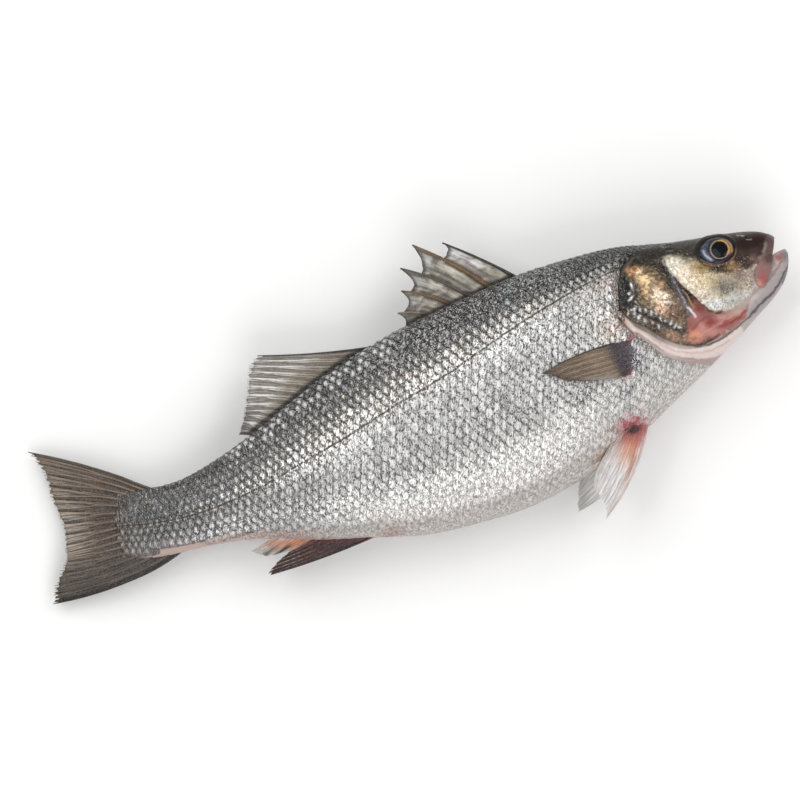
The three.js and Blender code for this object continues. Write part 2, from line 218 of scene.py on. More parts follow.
# %% [markdown]
# ## Laying the fish down
# The real fish doesn't lie straight: the tail stem turns towards the back and sags to the
# table, and the lower flank is pressed flat by the weight. All three are done point by point,
# as a lattice would do it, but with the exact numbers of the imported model.

# %% Bend, sag and press
RESTING_FLAT = 1.6  # how much of the lower flank the weight takes away
MIDDLE_Z = SECTIONS[:, HALF].max() - RESTING_FLAT
SAG, SAG_FROM, SAG_TO = 25.0, -20.0, -236.0
BEND_FROM, BEND_LENGTH, BEND_ANGLE = -129.5, 55.0, np.radians(18)
STEM_AXIS_Y = -4.1
PRESSED = 1.2  # below this height the skin is squeezed against the table


def lay(x, y, z):
    """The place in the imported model, in metres, of a point of the straight drawing."""
    x, y, z = (np.asarray(v, float) for v in np.broadcast_arrays(x, y, z))
    sag = np.clip((SAG_FROM - x) / (SAG_FROM - SAG_TO), 0, 1) ** 2 * SAG
    radius = BEND_LENGTH / BEND_ANGLE
    past = np.maximum(BEND_FROM - x, 0)
    angle = np.minimum(past / radius, BEND_ANGLE)
    straight = np.maximum(past - BEND_LENGTH, 0)
    out = y - STEM_AXIS_Y
    bent = x < BEND_FROM
    bent_x = BEND_FROM - radius * np.sin(angle) - straight * np.cos(angle) + out * np.sin(angle)
    bent_y = (
        STEM_AXIS_Y + radius * (1 - np.cos(angle)) + straight * np.sin(angle)
        + out * np.cos(angle)
    )
    height = z + MIDDLE_Z - sag
    squeezed = PRESSED * np.exp((np.minimum(height, PRESSED) - PRESSED) / PRESSED)
    height = np.where(height > PRESSED, height, squeezed)
    point = np.stack([np.where(bent, bent_x, x), np.where(bent, bent_y, y), height], axis=-1)
    return (point + SHIFT) * MM


print("jaw tip, m", lay(JAW_TIP_X, 10, 0).round(4))

# %% [markdown]
# ## Tools for shaping
# A flat grid is the clay for most pieces: it is added with one operator, and its points are
# then moved onto the form, as a sheet is wrapped round a core. Operators act on whatever is
# selected, so one helper always leaves a single piece selected.

# %% Helpers for shaping


def alone(piece):
    """Makes one piece the only selected one."""
    if bpy.context.object and bpy.context.object.mode != "OBJECT":
        bpy.ops.object.mode_set(mode="OBJECT")
    bpy.ops.object.select_all(action="DESELECT")
    piece.select_set(True)
    bpy.context.view_layer.objects.active = piece


def add_shape(name, operator, **settings):
    """Adds one of Blender's ready shapes, made by this operator, and names it."""
    bpy.ops.object.select_all(action="DESELECT")
    operator(**settings)
    piece = bpy.context.object
    piece.name = piece.data.name = name
    return piece


def add_grid(name, columns, rows):
    """A flat grid with this many points each way."""
    return add_shape(name, bpy.ops.mesh.primitive_grid_add, x_subdivisions=columns - 1,
                     y_subdivisions=rows - 1, size=2)


def points_of(piece):
    """The places of a piece's points, one row each."""
    flat = np.empty(len(piece.data.vertices) * 3, np.float32)
    piece.data.vertices.foreach_get("co", flat)
    return flat.reshape(-1, 3).astype(float)


def move_points(piece, points):
    """Puts every point of a piece where the rows say."""
    piece.data.vertices.foreach_set("co", np.asarray(points, np.float32).ravel())
    piece.data.update()


def grid_places(piece, columns, rows):
    """The column and the row of each point of a fresh grid."""
    flat = points_of(piece)
    return (
        np.rint((flat[:, 0] + 1) / 2 * (columns - 1)).astype(int),
        np.rint((flat[:, 1] + 1) / 2 * (rows - 1)).astype(int),
    )


# %% [markdown]
# A finish can read values stored on the points, as stitches are marked on a pattern. Colours
# are written as in a paint program, so they are turned into amounts of light first.

# %% Helpers for marks and clean skins


def mark(piece, name, values):
    """Stores one number, or one colour, on each point for the finish to read."""
    values = np.asarray(values, np.float32)
    kind, key = ("FLOAT", "value") if values.ndim == 1 else ("FLOAT_COLOR", "color")
    if values.ndim == 2:
        linear = np.where(values <= 0.04045, values / 12.92, ((values + 0.055) / 1.055) ** 2.4)
        values = np.hstack([linear, np.ones((len(values), 1))]).astype(np.float32)
    layer = piece.data.attributes.new(name, kind, "POINT")
    layer.data.foreach_set(key, values.ravel())


def read_mark(piece, name):
    """The numbers stored on the points under this name."""
    values = np.empty(len(piece.data.vertices), np.float32)
    piece.data.attributes[name].data.foreach_get("value", values)
    return values.astype(float)


def close_up(piece, gap=1e-6, angle=None):
    """Merges doubles, turns every face outwards and smooths the shading."""
    alone(piece)
    bpy.ops.object.mode_set(mode="EDIT")
    bpy.ops.mesh.select_all(action="SELECT")
    if gap:
        bpy.ops.mesh.remove_doubles(threshold=gap)
    bpy.ops.mesh.normals_make_consistent(inside=False)
    bpy.ops.object.mode_set(mode="OBJECT")
    if angle is None:
        bpy.ops.object.shade_smooth()
    else:
        bpy.ops.object.shade_smooth_by_angle(angle=np.radians(angle))


# %% [markdown]
# Scales and fin rays come in hundreds. Duplicating objects one by one would be slow, so all
# copies of a master are written into one mesh.

# %% Helpers for copies and for handing over


def repeat(master, name, places):
    """One mesh of many copies of a master: places[copy, point] is where each point goes."""
    mesh = master.data
    corners = np.empty(len(mesh.loops), np.int32)
    mesh.loops.foreach_get("vertex_index", corners)
    starts = np.empty(len(mesh.polygons), np.int32)
    mesh.polygons.foreach_get("loop_start", starts)
    copies, points = places.shape[:2]
    number = np.arange(copies, dtype=np.int32)[:, None]
    made = bpy.data.meshes.new(name)
    made.vertices.add(copies * points)
    made.vertices.foreach_set("co", places.astype(np.float32).ravel())
    made.loops.add(copies * len(corners))
    made.loops.foreach_set("vertex_index", (corners + number * points).ravel())
    made.polygons.add(copies * len(starts))
    made.polygons.foreach_set("loop_start", (starts + number * len(corners)).ravel())
    made.update(calc_edges=True)
    piece = bpy.data.objects.new(name, made)
    bpy.context.collection.objects.link(piece)
    return piece


def hand_over(piece, slot, *finishes):
    """Gives a piece its finishes and says what it is part of."""
    piece.data.materials.clear()
    for finish in finishes:
        piece.data.materials.append(finish)
    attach(piece, "root")
    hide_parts("sea_bass")
    print(piece.name, len(piece.data.polygons), "faces")


# %% [markdown]
# ## Drawing on the head
# The bones of the head show as edges, grooves and patches of colour. They are drawn as lines
# seen from the side, and every point of the skin asks how far it is from each line. The same
# lines then serve twice: for the relief and for the paint.

# %% Lines of the head
GILL_COVER = [
    (132, 39.5), (125.5, 36.6), (120, 31), (116.2, 22.8), (114.6, 14.4), (117.6, 7),
    (123.6, 1), (131, -8.6), (139.6, -15.9), (149, -19.4), (160, -18), (168, -11),
    (160, 6), (156, 22), (150, 36), (142, 40),
]
THROAT_SKIN = [
    (114, 14), (120, -4), (126, -12), (134.5, -20), (144, -25.5), (154, -27.2),
    (166, -22.5), (178, -15), (186, -9), (176, -4), (150, -6), (128, 6),
]
CHEEK = [
    (147.2, 35.6), (146.8, 30), (148, 23.5), (150.2, 16.8), (153, 11), (155.5, 6),
    (157.4, 1), (159.4, -3), (162.3, -5.4), (166, -6.4), (174.9, -7), (181, -5.4),
    (186, -2), (190, 4), (194, 12), (188, 18), (176, 20), (166, 24), (158, 33),
]
UPPER_GILL_BONE = [
    (127.2, 36), (131.8, 38), (138, 36), (142.2, 30), (143.5, 23.8), (145.3, 17.3),
    (146.2, 9.6), (146, 2.7), (144.7, -2.5), (142.1, -7.3), (137.2, -3.2), (132.2, 2.4),
    (124.6, 10.4), (116.4, 15.1), (116, 20.3), (118.1, 26.6), (120.9, 32),
]
GILL_CREASE = [
    (115.5, 14.6), (120, 12.2), (124.6, 9), (128.4, 5), (132.2, 1.2), (137.2, -4.4),
    (142.4, -8.6),
]
THROAT_BAND = [
    (114.6, 12), (118, 4), (123.5, -2.6), (130, -11), (138, -17.6), (148, -20.6),
    (160, -20.8), (172, -17.4), (172, -23), (160, -28), (148, -27.6), (136, -22.6),
    (127, -14), (119, -2.6), (114, 6),
]
JAW_CREASE = [
    (145.5, -18.7), (152, -20.4), (159.2, -20.4), (167.1, -18.6), (173.5, -16.6),
    (180, -14), (187.4, -10.4), (194.7, -7.4), (201.3, -3.4), (207, 1.6), (209.6, 4),
]
LIP_CREASE = [
    (207.5, 7.6), (204.6, 5.4), (201.2, 3), (196.6, 0.4), (191.4, -2.2), (186, -4.6),
    (181.6, -7.4), (179.4, -10.2),
]
LIP_BONE = [
    (203.6, 13), (201.6, 8.2), (198.3, 3.4), (193.2, -2), (189.8, -1.2), (189.4, 2.4),
    (191.2, 7), (195.8, 12), (199.6, 14.6),
]
UPPER_LIP = [(208.4, 21.5), (206.4, 16.9), (203.6, 12.6), (199.6, 14.6), (202.6, 19), (204.8, 24)]
MOUTH = [
    (219, 25.4), (208, 20.6), (206, 16.6), (203.4, 12.4), (206.5, 13), (210.4, 13.2),
    (219, 11.6),
]
EYE_X, EYE_Y, EYE_LONG, EYE_TALL, EYE_TURN = 175.2, 26.0, 10.0, 7.5, np.radians(-12)
NOSTRILS = [(193.4, 27.2, 0.9), (190.4, 28.4, 0.7)]
print("the gill cover is drawn with", len(GILL_COVER), "points, the cheek with", len(CHEEK))

# %% [markdown]
# A drawn line is first rounded, as a bent ruler rounds a row of pins. The distance from it
# makes strokes and filled shapes with an edge of any softness. Ovals and clouds make patches.

# %% Strokes, filled shapes and blots


def smooth_line(points, closed=False, steps=5):
    """Rounds a drawn line by adding points between its points."""
    points = np.array(points, float)
    count = len(points)
    t = np.arange(0, count if closed else count - 1, 1 / steps)
    i, w = t.astype(int), (t % 1)[:, None]
    around = [i + k for k in (-1, 0, 1, 2)]
    a, b, c, d = (points[k % count if closed else np.clip(k, 0, count - 1)] for k in around)
    curve = b + w * (c - a) / 2 + w**2 * (a - 2.5 * b + 2 * c - d / 2)
    curve = curve + w**3 * (1.5 * b - a / 2 - 1.5 * c + d / 2)
    return curve if closed else np.vstack([curve, points[-1]])


def line_distance(points, x, y, closed=False):
    """Distance from each place to the nearest point of a drawn line."""
    line = smooth_line(points, closed)
    ends = np.roll(line, -1, 0) if closed else line[1:]
    nearest = np.full(x.shape, np.inf)
    for (ax, ay), (bx, by) in zip(line, ends):
        dx, dy = bx - ax, by - ay
        s = np.clip(((x - ax) * dx + (y - ay) * dy) / (dx * dx + dy * dy + 1e-12), 0, 1)
        nearest = np.minimum(nearest, np.hypot(x - ax - s * dx, y - ay - s * dy))
    return nearest


def edge_distance(outline, x, y):
    """Distance to a closed outline, below zero inside it."""
    line = smooth_line(outline, closed=True)
    within = np.zeros(x.shape, bool)
    for (ax, ay), (bx, by) in zip(line, np.roll(line, -1, 0)):
        crosses = (ay > y) != (by > y)
        at = ax + (y - ay) * (bx - ax) / (by - ay if by != ay else 1e-9)
        within ^= crosses & (x < at)
    distance = line_distance(outline, x, y, closed=True)
    return np.where(within, -distance, distance)


def filled(outline, x, y, soft):
    """1 inside an outline and 0 outside, with an edge this soft."""
    return ease(0.5 - edge_distance(outline, x, y) / soft)


def stroke(points, x, y, width):
    """1 on a line, fading to 0 at this half width."""
    return np.exp(-((line_distance(points, x, y) / width) ** 2))


def blot(x, y, middle, size, turn=0.0):
    """A soft oval patch."""
    c, s = np.cos(np.radians(turn)), np.sin(np.radians(turn))
    dx, dy = x - middle[0], y - middle[1]
    return np.exp(-(((c * dx + s * dy) / size[0]) ** 2) - ((-s * dx + c * dy) / size[1]) ** 2)


def near(value, middle, width):
    """1 where a value is at the middle, fading to 0 within this width."""
    return np.exp(-(((value - middle) / width) ** 2))


def eye_distance(x, y):
    """1 on the edge of the eye's opening, less inside it."""
    dx, dy = x - EYE_X, y - EYE_Y
    along = dx * np.cos(EYE_TURN) + dy * np.sin(EYE_TURN)
    across = dy * np.cos(EYE_TURN) - dx * np.sin(EYE_TURN)
    return np.hypot(along / EYE_LONG, across / EYE_TALL)


def cloud(x, y, size, seed):
    """A soft random field between about -1 and 1."""
    places = (Vector((a / size, b / size, seed)) for a, b in zip(x.ravel(), y.ravel()))
    return np.array([noise.noise(place) for place in places]).reshape(x.shape) * 1.6


tip_distance = line_distance(JAW_CREASE, np.array([JAW_TIP_X]), np.array([10.0]))
print("from the jaw tip to the crease of the jaw, mm", tip_distance.round(2))

# %% [markdown]
# ## Relief of the head
# Cheek, gill cover and throat skin are thin plates that overlap like roof tiles, so each one
# lifts the skin by a step at its edge. Creases push it in. Carving all of it into one skin
# keeps the head closed, which separate plates would not.

# %% How far the head's skin stands out
HEAD_FROM = 100.0


def head_relief(x, y):
    """How far the skin stands out at a place seen from the side, in millimetres."""
    cover = edge_distance(GILL_COVER, x, y)
    throat = edge_distance(THROAT_SKIN, x, y)
    band = edge_distance(THROAT_BAND, x, y)
    cheek = edge_distance(CHEEK, x, y)
    fade = 1 - ease((x - 156) / 34)
    rear = ease((136 - x) / 6) * ease((y + 20) / 6)
    lift = 0.9 * ease(0.5 - throat / 1.2)
    lift = np.maximum(lift, 1.75 * ease(0.5 - cover / 0.9))
    lift -= 2.2 * rear * ease(cover / 0.8) * ease((4.2 - cover) / 3)
    bone = edge_distance(UPPER_GILL_BONE, x, y)
    lift += 0.35 * ease(-bone / 2.5)
    lift -= 1.1 * stroke(GILL_CREASE, x, y, 0.9)
    groove = ease((cheek - 0.4) / 0.8) * ease((6.5 - cheek) / 2.5) * ease((158 - x) / 5)
    groove *= ease((33 - y) / 3) * ease((y + 5) / 5)
    lift -= 1.3 * groove
    lift += 0.9 * stroke([(146.5, 23), (148.2, 14), (149.3, 6), (150.4, -1)], x, y, 0.9) * groove
    lift += (2.7 * fade - lift) * ease(0.5 - cheek / 0.9)
    lift -= 0.8 * blot(x, y, (152, -9), (8, 4.5), -20)
    lift -= 0.7 * stroke(JAW_CREASE, x, y, 0.8)
    lift -= 1.0 * stroke(LIP_CREASE, x, y, 0.9) * ease((209 - x) / 3)
    lift += 0.9 * ease(0.5 - edge_distance(LIP_BONE, x, y) / 1.0)
    lift += 0.5 * ease(0.5 - edge_distance(UPPER_LIP, x, y) / 1.2)
    round_eye = eye_distance(x, y)
    lift += 0.7 * near(round_eye, 1.14, 0.11) - 2.4 * ease((1.03 - round_eye) / 0.12)
    for px, py, size in NOSTRILS:
        lift -= 1.1 * blot(x, y, (px, py), (size, size * 0.7), -20)
        lift += 0.35 * stroke([(px - 0.4, py - 1.6), (px + 1.4, py - 1)], x, y, 0.5)
    folds = np.sin(line_distance(JAW_CREASE, x, y) * 1.9) * ease(0.5 - throat / 2)
    lift += 0.2 * folds * ease((-band - 0.5) / 1.5)
    return lift * ease((x - HEAD_FROM - 6) / 6)


tried = head_relief(np.array([130.0, 165.0, 117.0]), np.array([15.0, 10.0, 4.0]))
print("relief on gill bone, cheek and behind the gill, mm", tried.round(2))

# %% [markdown]
# ## Body and head
# One grid is rolled up like a sheet of paper: its columns become rings along the fish and its
# rows run round the body. The rings are close together only on the head, where the relief
# needs them; under the scales a coarse core is enough, and it lies a little deeper.

# %% Roll up the body
SIDES = 380
TRUNK_STEP, HEAD_STEP = 4.0, 0.62
NOSE_LENGTH, NOSE_RINGS = 2.4, 9  # the rounded end of the jaw
UNDER_SCALES = 0.35  # how much deeper the skin lies where scales cover it
NOSE_FROM = JAW_TIP_X - NOSE_LENGTH
BARE_HEAD = [
    (170, 62), (157, 40.5), (146, 38.5), (136, 41.5), (126, 39.5), (119.4, 34.5),
    (114.6, 24), (112.8, 14.4), (113.8, 5), (118.5, -3.5), (123, -11), (129, -19),
    (137, -25.5), (146, -30), (154, -34.5), (160, -60), (240, -60), (240, 62),
]
rings = np.concatenate(
    [
        [-190.0, -189.2], np.arange(-187, HEAD_FROM, TRUNK_STEP),
        np.arange(HEAD_FROM, NOSE_FROM, HEAD_STEP),
        NOSE_FROM + NOSE_LENGTH * np.sin(np.linspace(0, np.pi / 2, NOSE_RINGS)),
    ]
)
angles = np.linspace(0, 2 * np.pi, SIDES + 1)
ring_x, round_angle = np.meshgrid(rings, angles, indexing="ij")
_, flat_y, _ = skin_point(ring_x, round_angle, 0.0)
on_head = rings > HEAD_FROM
lift = np.zeros(ring_x.shape)
lift[on_head] = head_relief(ring_x[on_head], flat_y[on_head])
bare = np.zeros(ring_x.shape)
bare[on_head] = filled(BARE_HEAD, ring_x[on_head], flat_y[on_head], 3.0)
lift -= UNDER_SCALES * (1 - bare)
body_x, body_y, body_z = skin_point(ring_x, round_angle, lift)
print(len(rings), "rings,", on_head.sum(), "of them on the head")

# %% [markdown]
# Both ends are rounded off: the rings there shrink towards the middle of the fish. The sheet is
# then moved onto the form, and its doubled seam is merged.

# %% Close the ends and wrap the sheet
shrink = np.sqrt(np.clip(1 - ((rings - NOSE_FROM) / NOSE_LENGTH) ** 2, 0, 1))
shrink = np.where(rings > NOSE_FROM, shrink, 1.0)
shrink[:2] = (0.0, 0.7)
shrink = shrink[:, None]
middle_y = (section(ring_x, TOP) + section(ring_x, BOTTOM)) / 2
body_y = middle_y + (body_y - middle_y) * shrink
body_z = body_z * shrink

body = add_grid("body_and_head", len(rings), SIDES + 1)
column, row = grid_places(body, len(rings), SIDES + 1)
move_points(body, lay(body_x, body_y, body_z)[column, row])
mark(body, "fish_x", ring_x[column, row])
mark(body, "fish_y", body_y[column, row])
close_up(body)
print("body and head:", len(body.data.polygons), "faces")

# %% [markdown]
# ## The open mouth
# The jaws stand a little apart. A wedge is drawn with a seven-sided disc whose corners are
# moved to the corners of the gap, pushed through the head with extrude, and cut away with a
# boolean. The cut walls keep the wedge's own finish, so the mouth is flesh inside.

# %% Cut the mouth
WEDGE_FROM, WEDGE_DEPTH = 0.001, 0.07  # metres: the wedge passes through the whole head
flesh = bpy.data.materials.new("mouth_flesh")
head_skin = bpy.data.materials.new("head_skin")
wedge = add_shape("mouth_wedge", bpy.ops.mesh.primitive_circle_add, vertices=len(MOUTH),
                  radius=1, fill_type="NGON")
corners = lay(*np.array(MOUTH).T, 0.0)
corners[:, 2] = WEDGE_FROM
move_points(wedge, corners)
bpy.ops.object.mode_set(mode="EDIT")
bpy.ops.mesh.select_all(action="SELECT")
bpy.ops.mesh.extrude_region_move(TRANSFORM_OT_translate={"value": (0, 0, WEDGE_DEPTH)})
bpy.ops.mesh.select_all(action="SELECT")
bpy.ops.mesh.normals_make_consistent(inside=False)
bpy.ops.object.mode_set(mode="OBJECT")
wedge.data.materials.append(flesh)
body.data.materials.append(head_skin)
alone(body)
cut = body.modifiers.new("mouth", "BOOLEAN")
cut.operation, cut.object, cut.solver = "DIFFERENCE", wedge, "EXACT"
cut.material_mode = "TRANSFER"
bpy.ops.object.modifier_apply(modifier=cut.name)
bpy.data.objects.remove(wedge)
print("after the cut:", len(body.data.polygons), "faces,", len(body.data.materials), "finishes")

# %% [markdown]
# ## Paint of the body and head
# The skin's colours are laid on like glazes, one soft layer over the other: dark crown, bronze
# gill cover, cream cheek, red flesh round the jaw joint, grey-pink jaws. Storing the paint on
# the points keeps it tied to the relief, and the finish adds the speckles.

# %% Glazes


def tone_of(colour):
    """Red, green and blue, from 0 to 1, of a colour written as in a paint program."""
    return np.array([int(colour[i : i + 2], 16) for i in (1, 3, 5)]) / 255


def glaze(canvas, mask, colour):
    """Lays a colour over the canvas, as strongly as the mask says at each point."""
    mask = np.clip(mask, 0, 1)[:, None]
    return canvas * (1 - mask) + tone_of(colour) * mask


def layers(x, steps, ground=0.5):
    """A grey ground for the points x, with glazes laid over it in order."""
    canvas = np.full((len(x), 3), ground)
    for mask, colour in steps:
        canvas = glaze(canvas, np.broadcast_to(np.asarray(mask, float), x.shape), colour)
    return canvas


print("half a glaze of white over grey:", layers(np.zeros(1), [(0.5, "#ffffff")]))

# %% [markdown]
# The head is painted by regions, as behind a stencil: gill cover, gill bone, cheek, flesh,
# snout, lips, jaw and throat. The stencils are held to slightly moved places, so that the edges
# of skin and flesh come out ragged and not cut with scissors.

# %% Regions of the head
FLESH_ZONE = [
    (151, 2), (154, 6), (157.6, 0), (160, -4.4), (166, -7.4), (174, -8.6), (180, -8.2),
    (185, -6.2), (179.6, -11.4), (170, -16.6), (160, -18.6), (150, -17.4), (143.6, -13),
    (145, -6),
]
SNOUT = [
    (168, 40), (169, 30), (176, 34.5), (184, 31), (186, 25), (184, 20), (181, 16.5),
    (184, 12), (189, 10.5), (195, 12.5), (199, 16), (203, 23), (209, 27), (204, 40),
]
JAW = [
    (212, 14), (206, 12.6), (203.6, 9), (199, 2.4), (192, -3), (184, -7), (178, -12),
    (180, -16), (190, -14), (202, -6), (210, 2), (214, 8),
]
CROWN_LINE = [
    (100, 38), (118, 35), (127, 35), (136, 38.5), (147, 34.5), (156, 31), (161, 29), (168, 28),
    (186, 24), (205, 19),
]


def ragged(x, y):
    """The same places, each moved a little at random."""
    return (
        x + 0.9 * cloud(x, y, 3.1, 1.0) + 0.4 * cloud(x, y, 1.1, 2.0),
        y + 0.9 * cloud(x, y, 3.1, 3.0) + 0.4 * cloud(x, y, 1.1, 4.0),
    )


def head_regions(x, y, wx, wy):
    """How much each place belongs to each region, from 0 to 1. wx and wy are ragged."""
    cover, bone = filled(GILL_COVER, x, y, 1.2), filled(UPPER_GILL_BONE, wx, wy, 1.6)
    return {
        "skin": np.ones(len(x)), "cover": cover, "bone": bone, "rim": cover * (1 - bone),
        "cheek": ease(0.5 - edge_distance(CHEEK, x, y)),
        "flesh": filled(FLESH_ZONE, 2.2 * wx - 1.2 * x, 2.2 * wy - 1.2 * y, 3.0),
        "snout": filled(SNOUT, wx, wy, 2.4), "lip": filled(UPPER_LIP, x, y, 2.2),
        "maxilla": filled(LIP_BONE, x, y, 1.8), "jaw": filled(JAW, wx, wy, 1.6),
        "throat": filled(THROAT_BAND, x, y, 1.0),
        "gap": ease((edge_distance(GILL_COVER, x, y) + 0.4) / 0.6),
    }


GROUNDS = [  # the ground colour of a region, before its patches
    ("flesh", "#a5706a"), ("cheek", "#c9bba3"), ("snout", "#251510"), ("lip", "#604a48"),
    ("maxilla", "#8f6b68"), ("jaw", "#ada3a3"), ("throat", "#e4d3ce"),
]
print(len(GROUNDS), "ground colours")

# %% [markdown]
# No plate of the head has one colour. Soft oval patches, each held to its region, give the
# gill cover its gold and dark rim, the cheek its cream and grey, and the flesh its reds.

# %% Patches of the head
PATCHES = [  # region, place x and y, half length, half width, turn, strength and colour
    ("bone", 129.2, 31.6, 5, 2.8, -25, 1.2, "#b9855c"),
    ("bone", 133, 25.2, 5.2, 3.6, -45, 1.2, "#e3c598"),
    ("bone", 131, 19, 3.4, 4.6, 10, 0.8, "#d2a878"),
    ("bone", 137.4, 13.2, 5, 6.4, 20, 1.3, "#f6dfc6"),
    ("bone", 134.4, 7.2, 3.4, 4.2, 30, 1.1, "#dcb595"),
    ("bone", 144, 19, 2.6, 7, 8, 1.1, "#54483f"), ("bone", 138.6, 27, 2.6, 3, 0, 0.8, "#7d6a55"),
    ("bone", 141.8, 3, 3, 5, 20, 1, "#86695d"), ("bone", 134, 37.6, 7, 3.2, -12, 1.5, "#2c2823"),
    ("bone", 142.4, 33.4, 6.4, 4.6, -20, 1.5, "#2e2a24"),
    ("rim", 142, 38, 9, 4.6, 0, 1.5, "#2a2621"), ("rim", 149, 34, 4, 4, 0, 1.2, "#332e28"),
    ("bone", 120.4, 27, 4.2, 7.6, 15, 1.5, "#1a2023"),
    ("bone", 118.6, 17.6, 4.6, 5, 0, 1.5, "#202328"),
    ("bone", 124, 19.6, 2.6, 5.6, -10, 0.9, "#3a3630"),
    ("bone", 131.4, 30.6, 2.2, 1.2, 20, 0.9, "#f6e2c2"),
    ("bone", 139.6, 20.4, 1.6, 4, 20, 0.8, "#b58e63"),
    # painted glint: a small white patch on the gill bone
    ("bone", 139, 9.6, 2, 1.4, 0, 0.9, "#fff6ea"),
    ("rim", 135, -8.4, 6.5, 2.8, -35, 1.1, "#a98b75"),
    ("rim", 126.8, -2.6, 4.5, 2.4, -45, 1.1, "#4c3d35"),
    ("rim", 145, -14.6, 5, 2.4, -15, 0.9, "#a87c66"),
    ("cheek", 151.6, 27, 5, 6.4, 20, 1.4, "#fff8e4"),
    ("cheek", 155, 16.6, 4.4, 8, 22, 1.2, "#f3e2d0"),
    ("cheek", 162.4, 13.6, 6, 6.4, 10, 1, "#f0d9b4"),
    ("cheek", 160, 5, 4.4, 5.4, 20, 0.9, "#e8dccb"),
    ("cheek", 165, 20.6, 6, 3, -25, 1.1, "#9d8251"), ("cheek", 173, 6, 6.4, 4.6, -20, 1, "#77736c"),
    ("cheek", 168, 10.6, 4, 3, -30, 0.6, "#b09c76"),
    ("cheek", 183, 8.8, 4.4, 4.4, 0, 1.1, "#84706a"),
    ("cheek", 165, -1.8, 5.6, 3, -20, 1.3, "#edeeee"),
    ("cheek", 174.6, -2.4, 5.4, 3.4, 0, 1.1, "#c9cbca"),
    ("cheek", 182.4, -3, 5.6, 3.2, 20, 1.2, "#d3cbc7"),
    ("skin", 188.4, 2, 2.6, 4.6, 25, 1, "#d6cbc6"),
    ("skin", 174.8, 15.4, 7, 2.1, -22, 1.4, "#3c2b20"),
    ("skin", 180.6, 14.4, 4, 3, 10, 0.9, "#8a6a42"),
    ("skin", 163, 31.4, 8, 4.6, -8, 1.6, "#3d3931"),
    ("skin", 156, 33.6, 5, 1.8, -4, 1.2, "#4a463c"),
    ("flesh", 147.4, -12.8, 4, 2.8, -10, 1.3, "#dd9678"),
    ("flesh", 155.4, 0.2, 2.2, 5.4, 20, 1.2, "#7c4640"),
    ("flesh", 147, -6.6, 2.4, 3.4, 0, 0.9, "#8f564f"),
    ("flesh", 152.6, -10.4, 2.6, 2.8, 30, 0.9, "#cd9085"),
    ("flesh", 158.6, -9.4, 3.6, 2, -10, 1.2, "#8e3f3d"),
    ("flesh", 165, -9.4, 4, 1.6, 0, 0.9, "#c9968d"),
    ("flesh", 164.4, -13.4, 4.6, 1.4, 0, 1, "#9a4a46"),
    ("flesh", 157, -15.4, 5, 1.6, -10, 0.8, "#c68f83"),
    ("snout", 198.8, 20.4, 5.6, 4.6, 20, 1.3, "#2b1612"),
    ("snout", 192.6, 15, 3.6, 2.6, 30, 0.9, "#6a524b"),
    ("snout", 187.2, 19.4, 2.8, 4, 0, 1, "#38281f"),
    ("snout", 192, 30, 7, 2.4, -12, 0.8, "#5b5450"),
    ("maxilla", 200.8, 11.6, 3.6, 3.4, 0, 1.1, "#54403d"),
    ("maxilla", 193, 2.4, 3, 4.6, 30, 1.3, "#a65c5a"),
    ("skin", 190.6, 6.4, 2.6, 5, -30, 0.8, "#8b7a76"),
    ("skin", 184.6, -5.6, 5, 2, 20, 0.9, "#cfc2bd"),
    ("skin", 174, -9.4, 5.4, 1.8, 5, 0.8, "#c9aba3"),
    ("maxilla", 190.6, 0.2, 2.2, 2, 0, 1, "#c59087"),
    ("jaw", 206.2, 9.6, 2.6, 2.4, 0, 1.2, "#9c6466"), ("jaw", 204.6, 6.4, 2.2, 2, 30, 1, "#c4abaa"),
    ("jaw", 210.2, 9, 1.8, 3.4, 0, 0.9, "#7c7373"), ("gap", 111, 7, 2.6, 4, 10, 1, "#c0705a"),
    ("gap", 112.4, 1.6, 2, 2.6, 0, 0.9, "#a9564c"), ("gap", 108, 1, 3, 3.6, 0, 0.9, "#e9dac6"),
]
print(len(PATCHES), "patches")
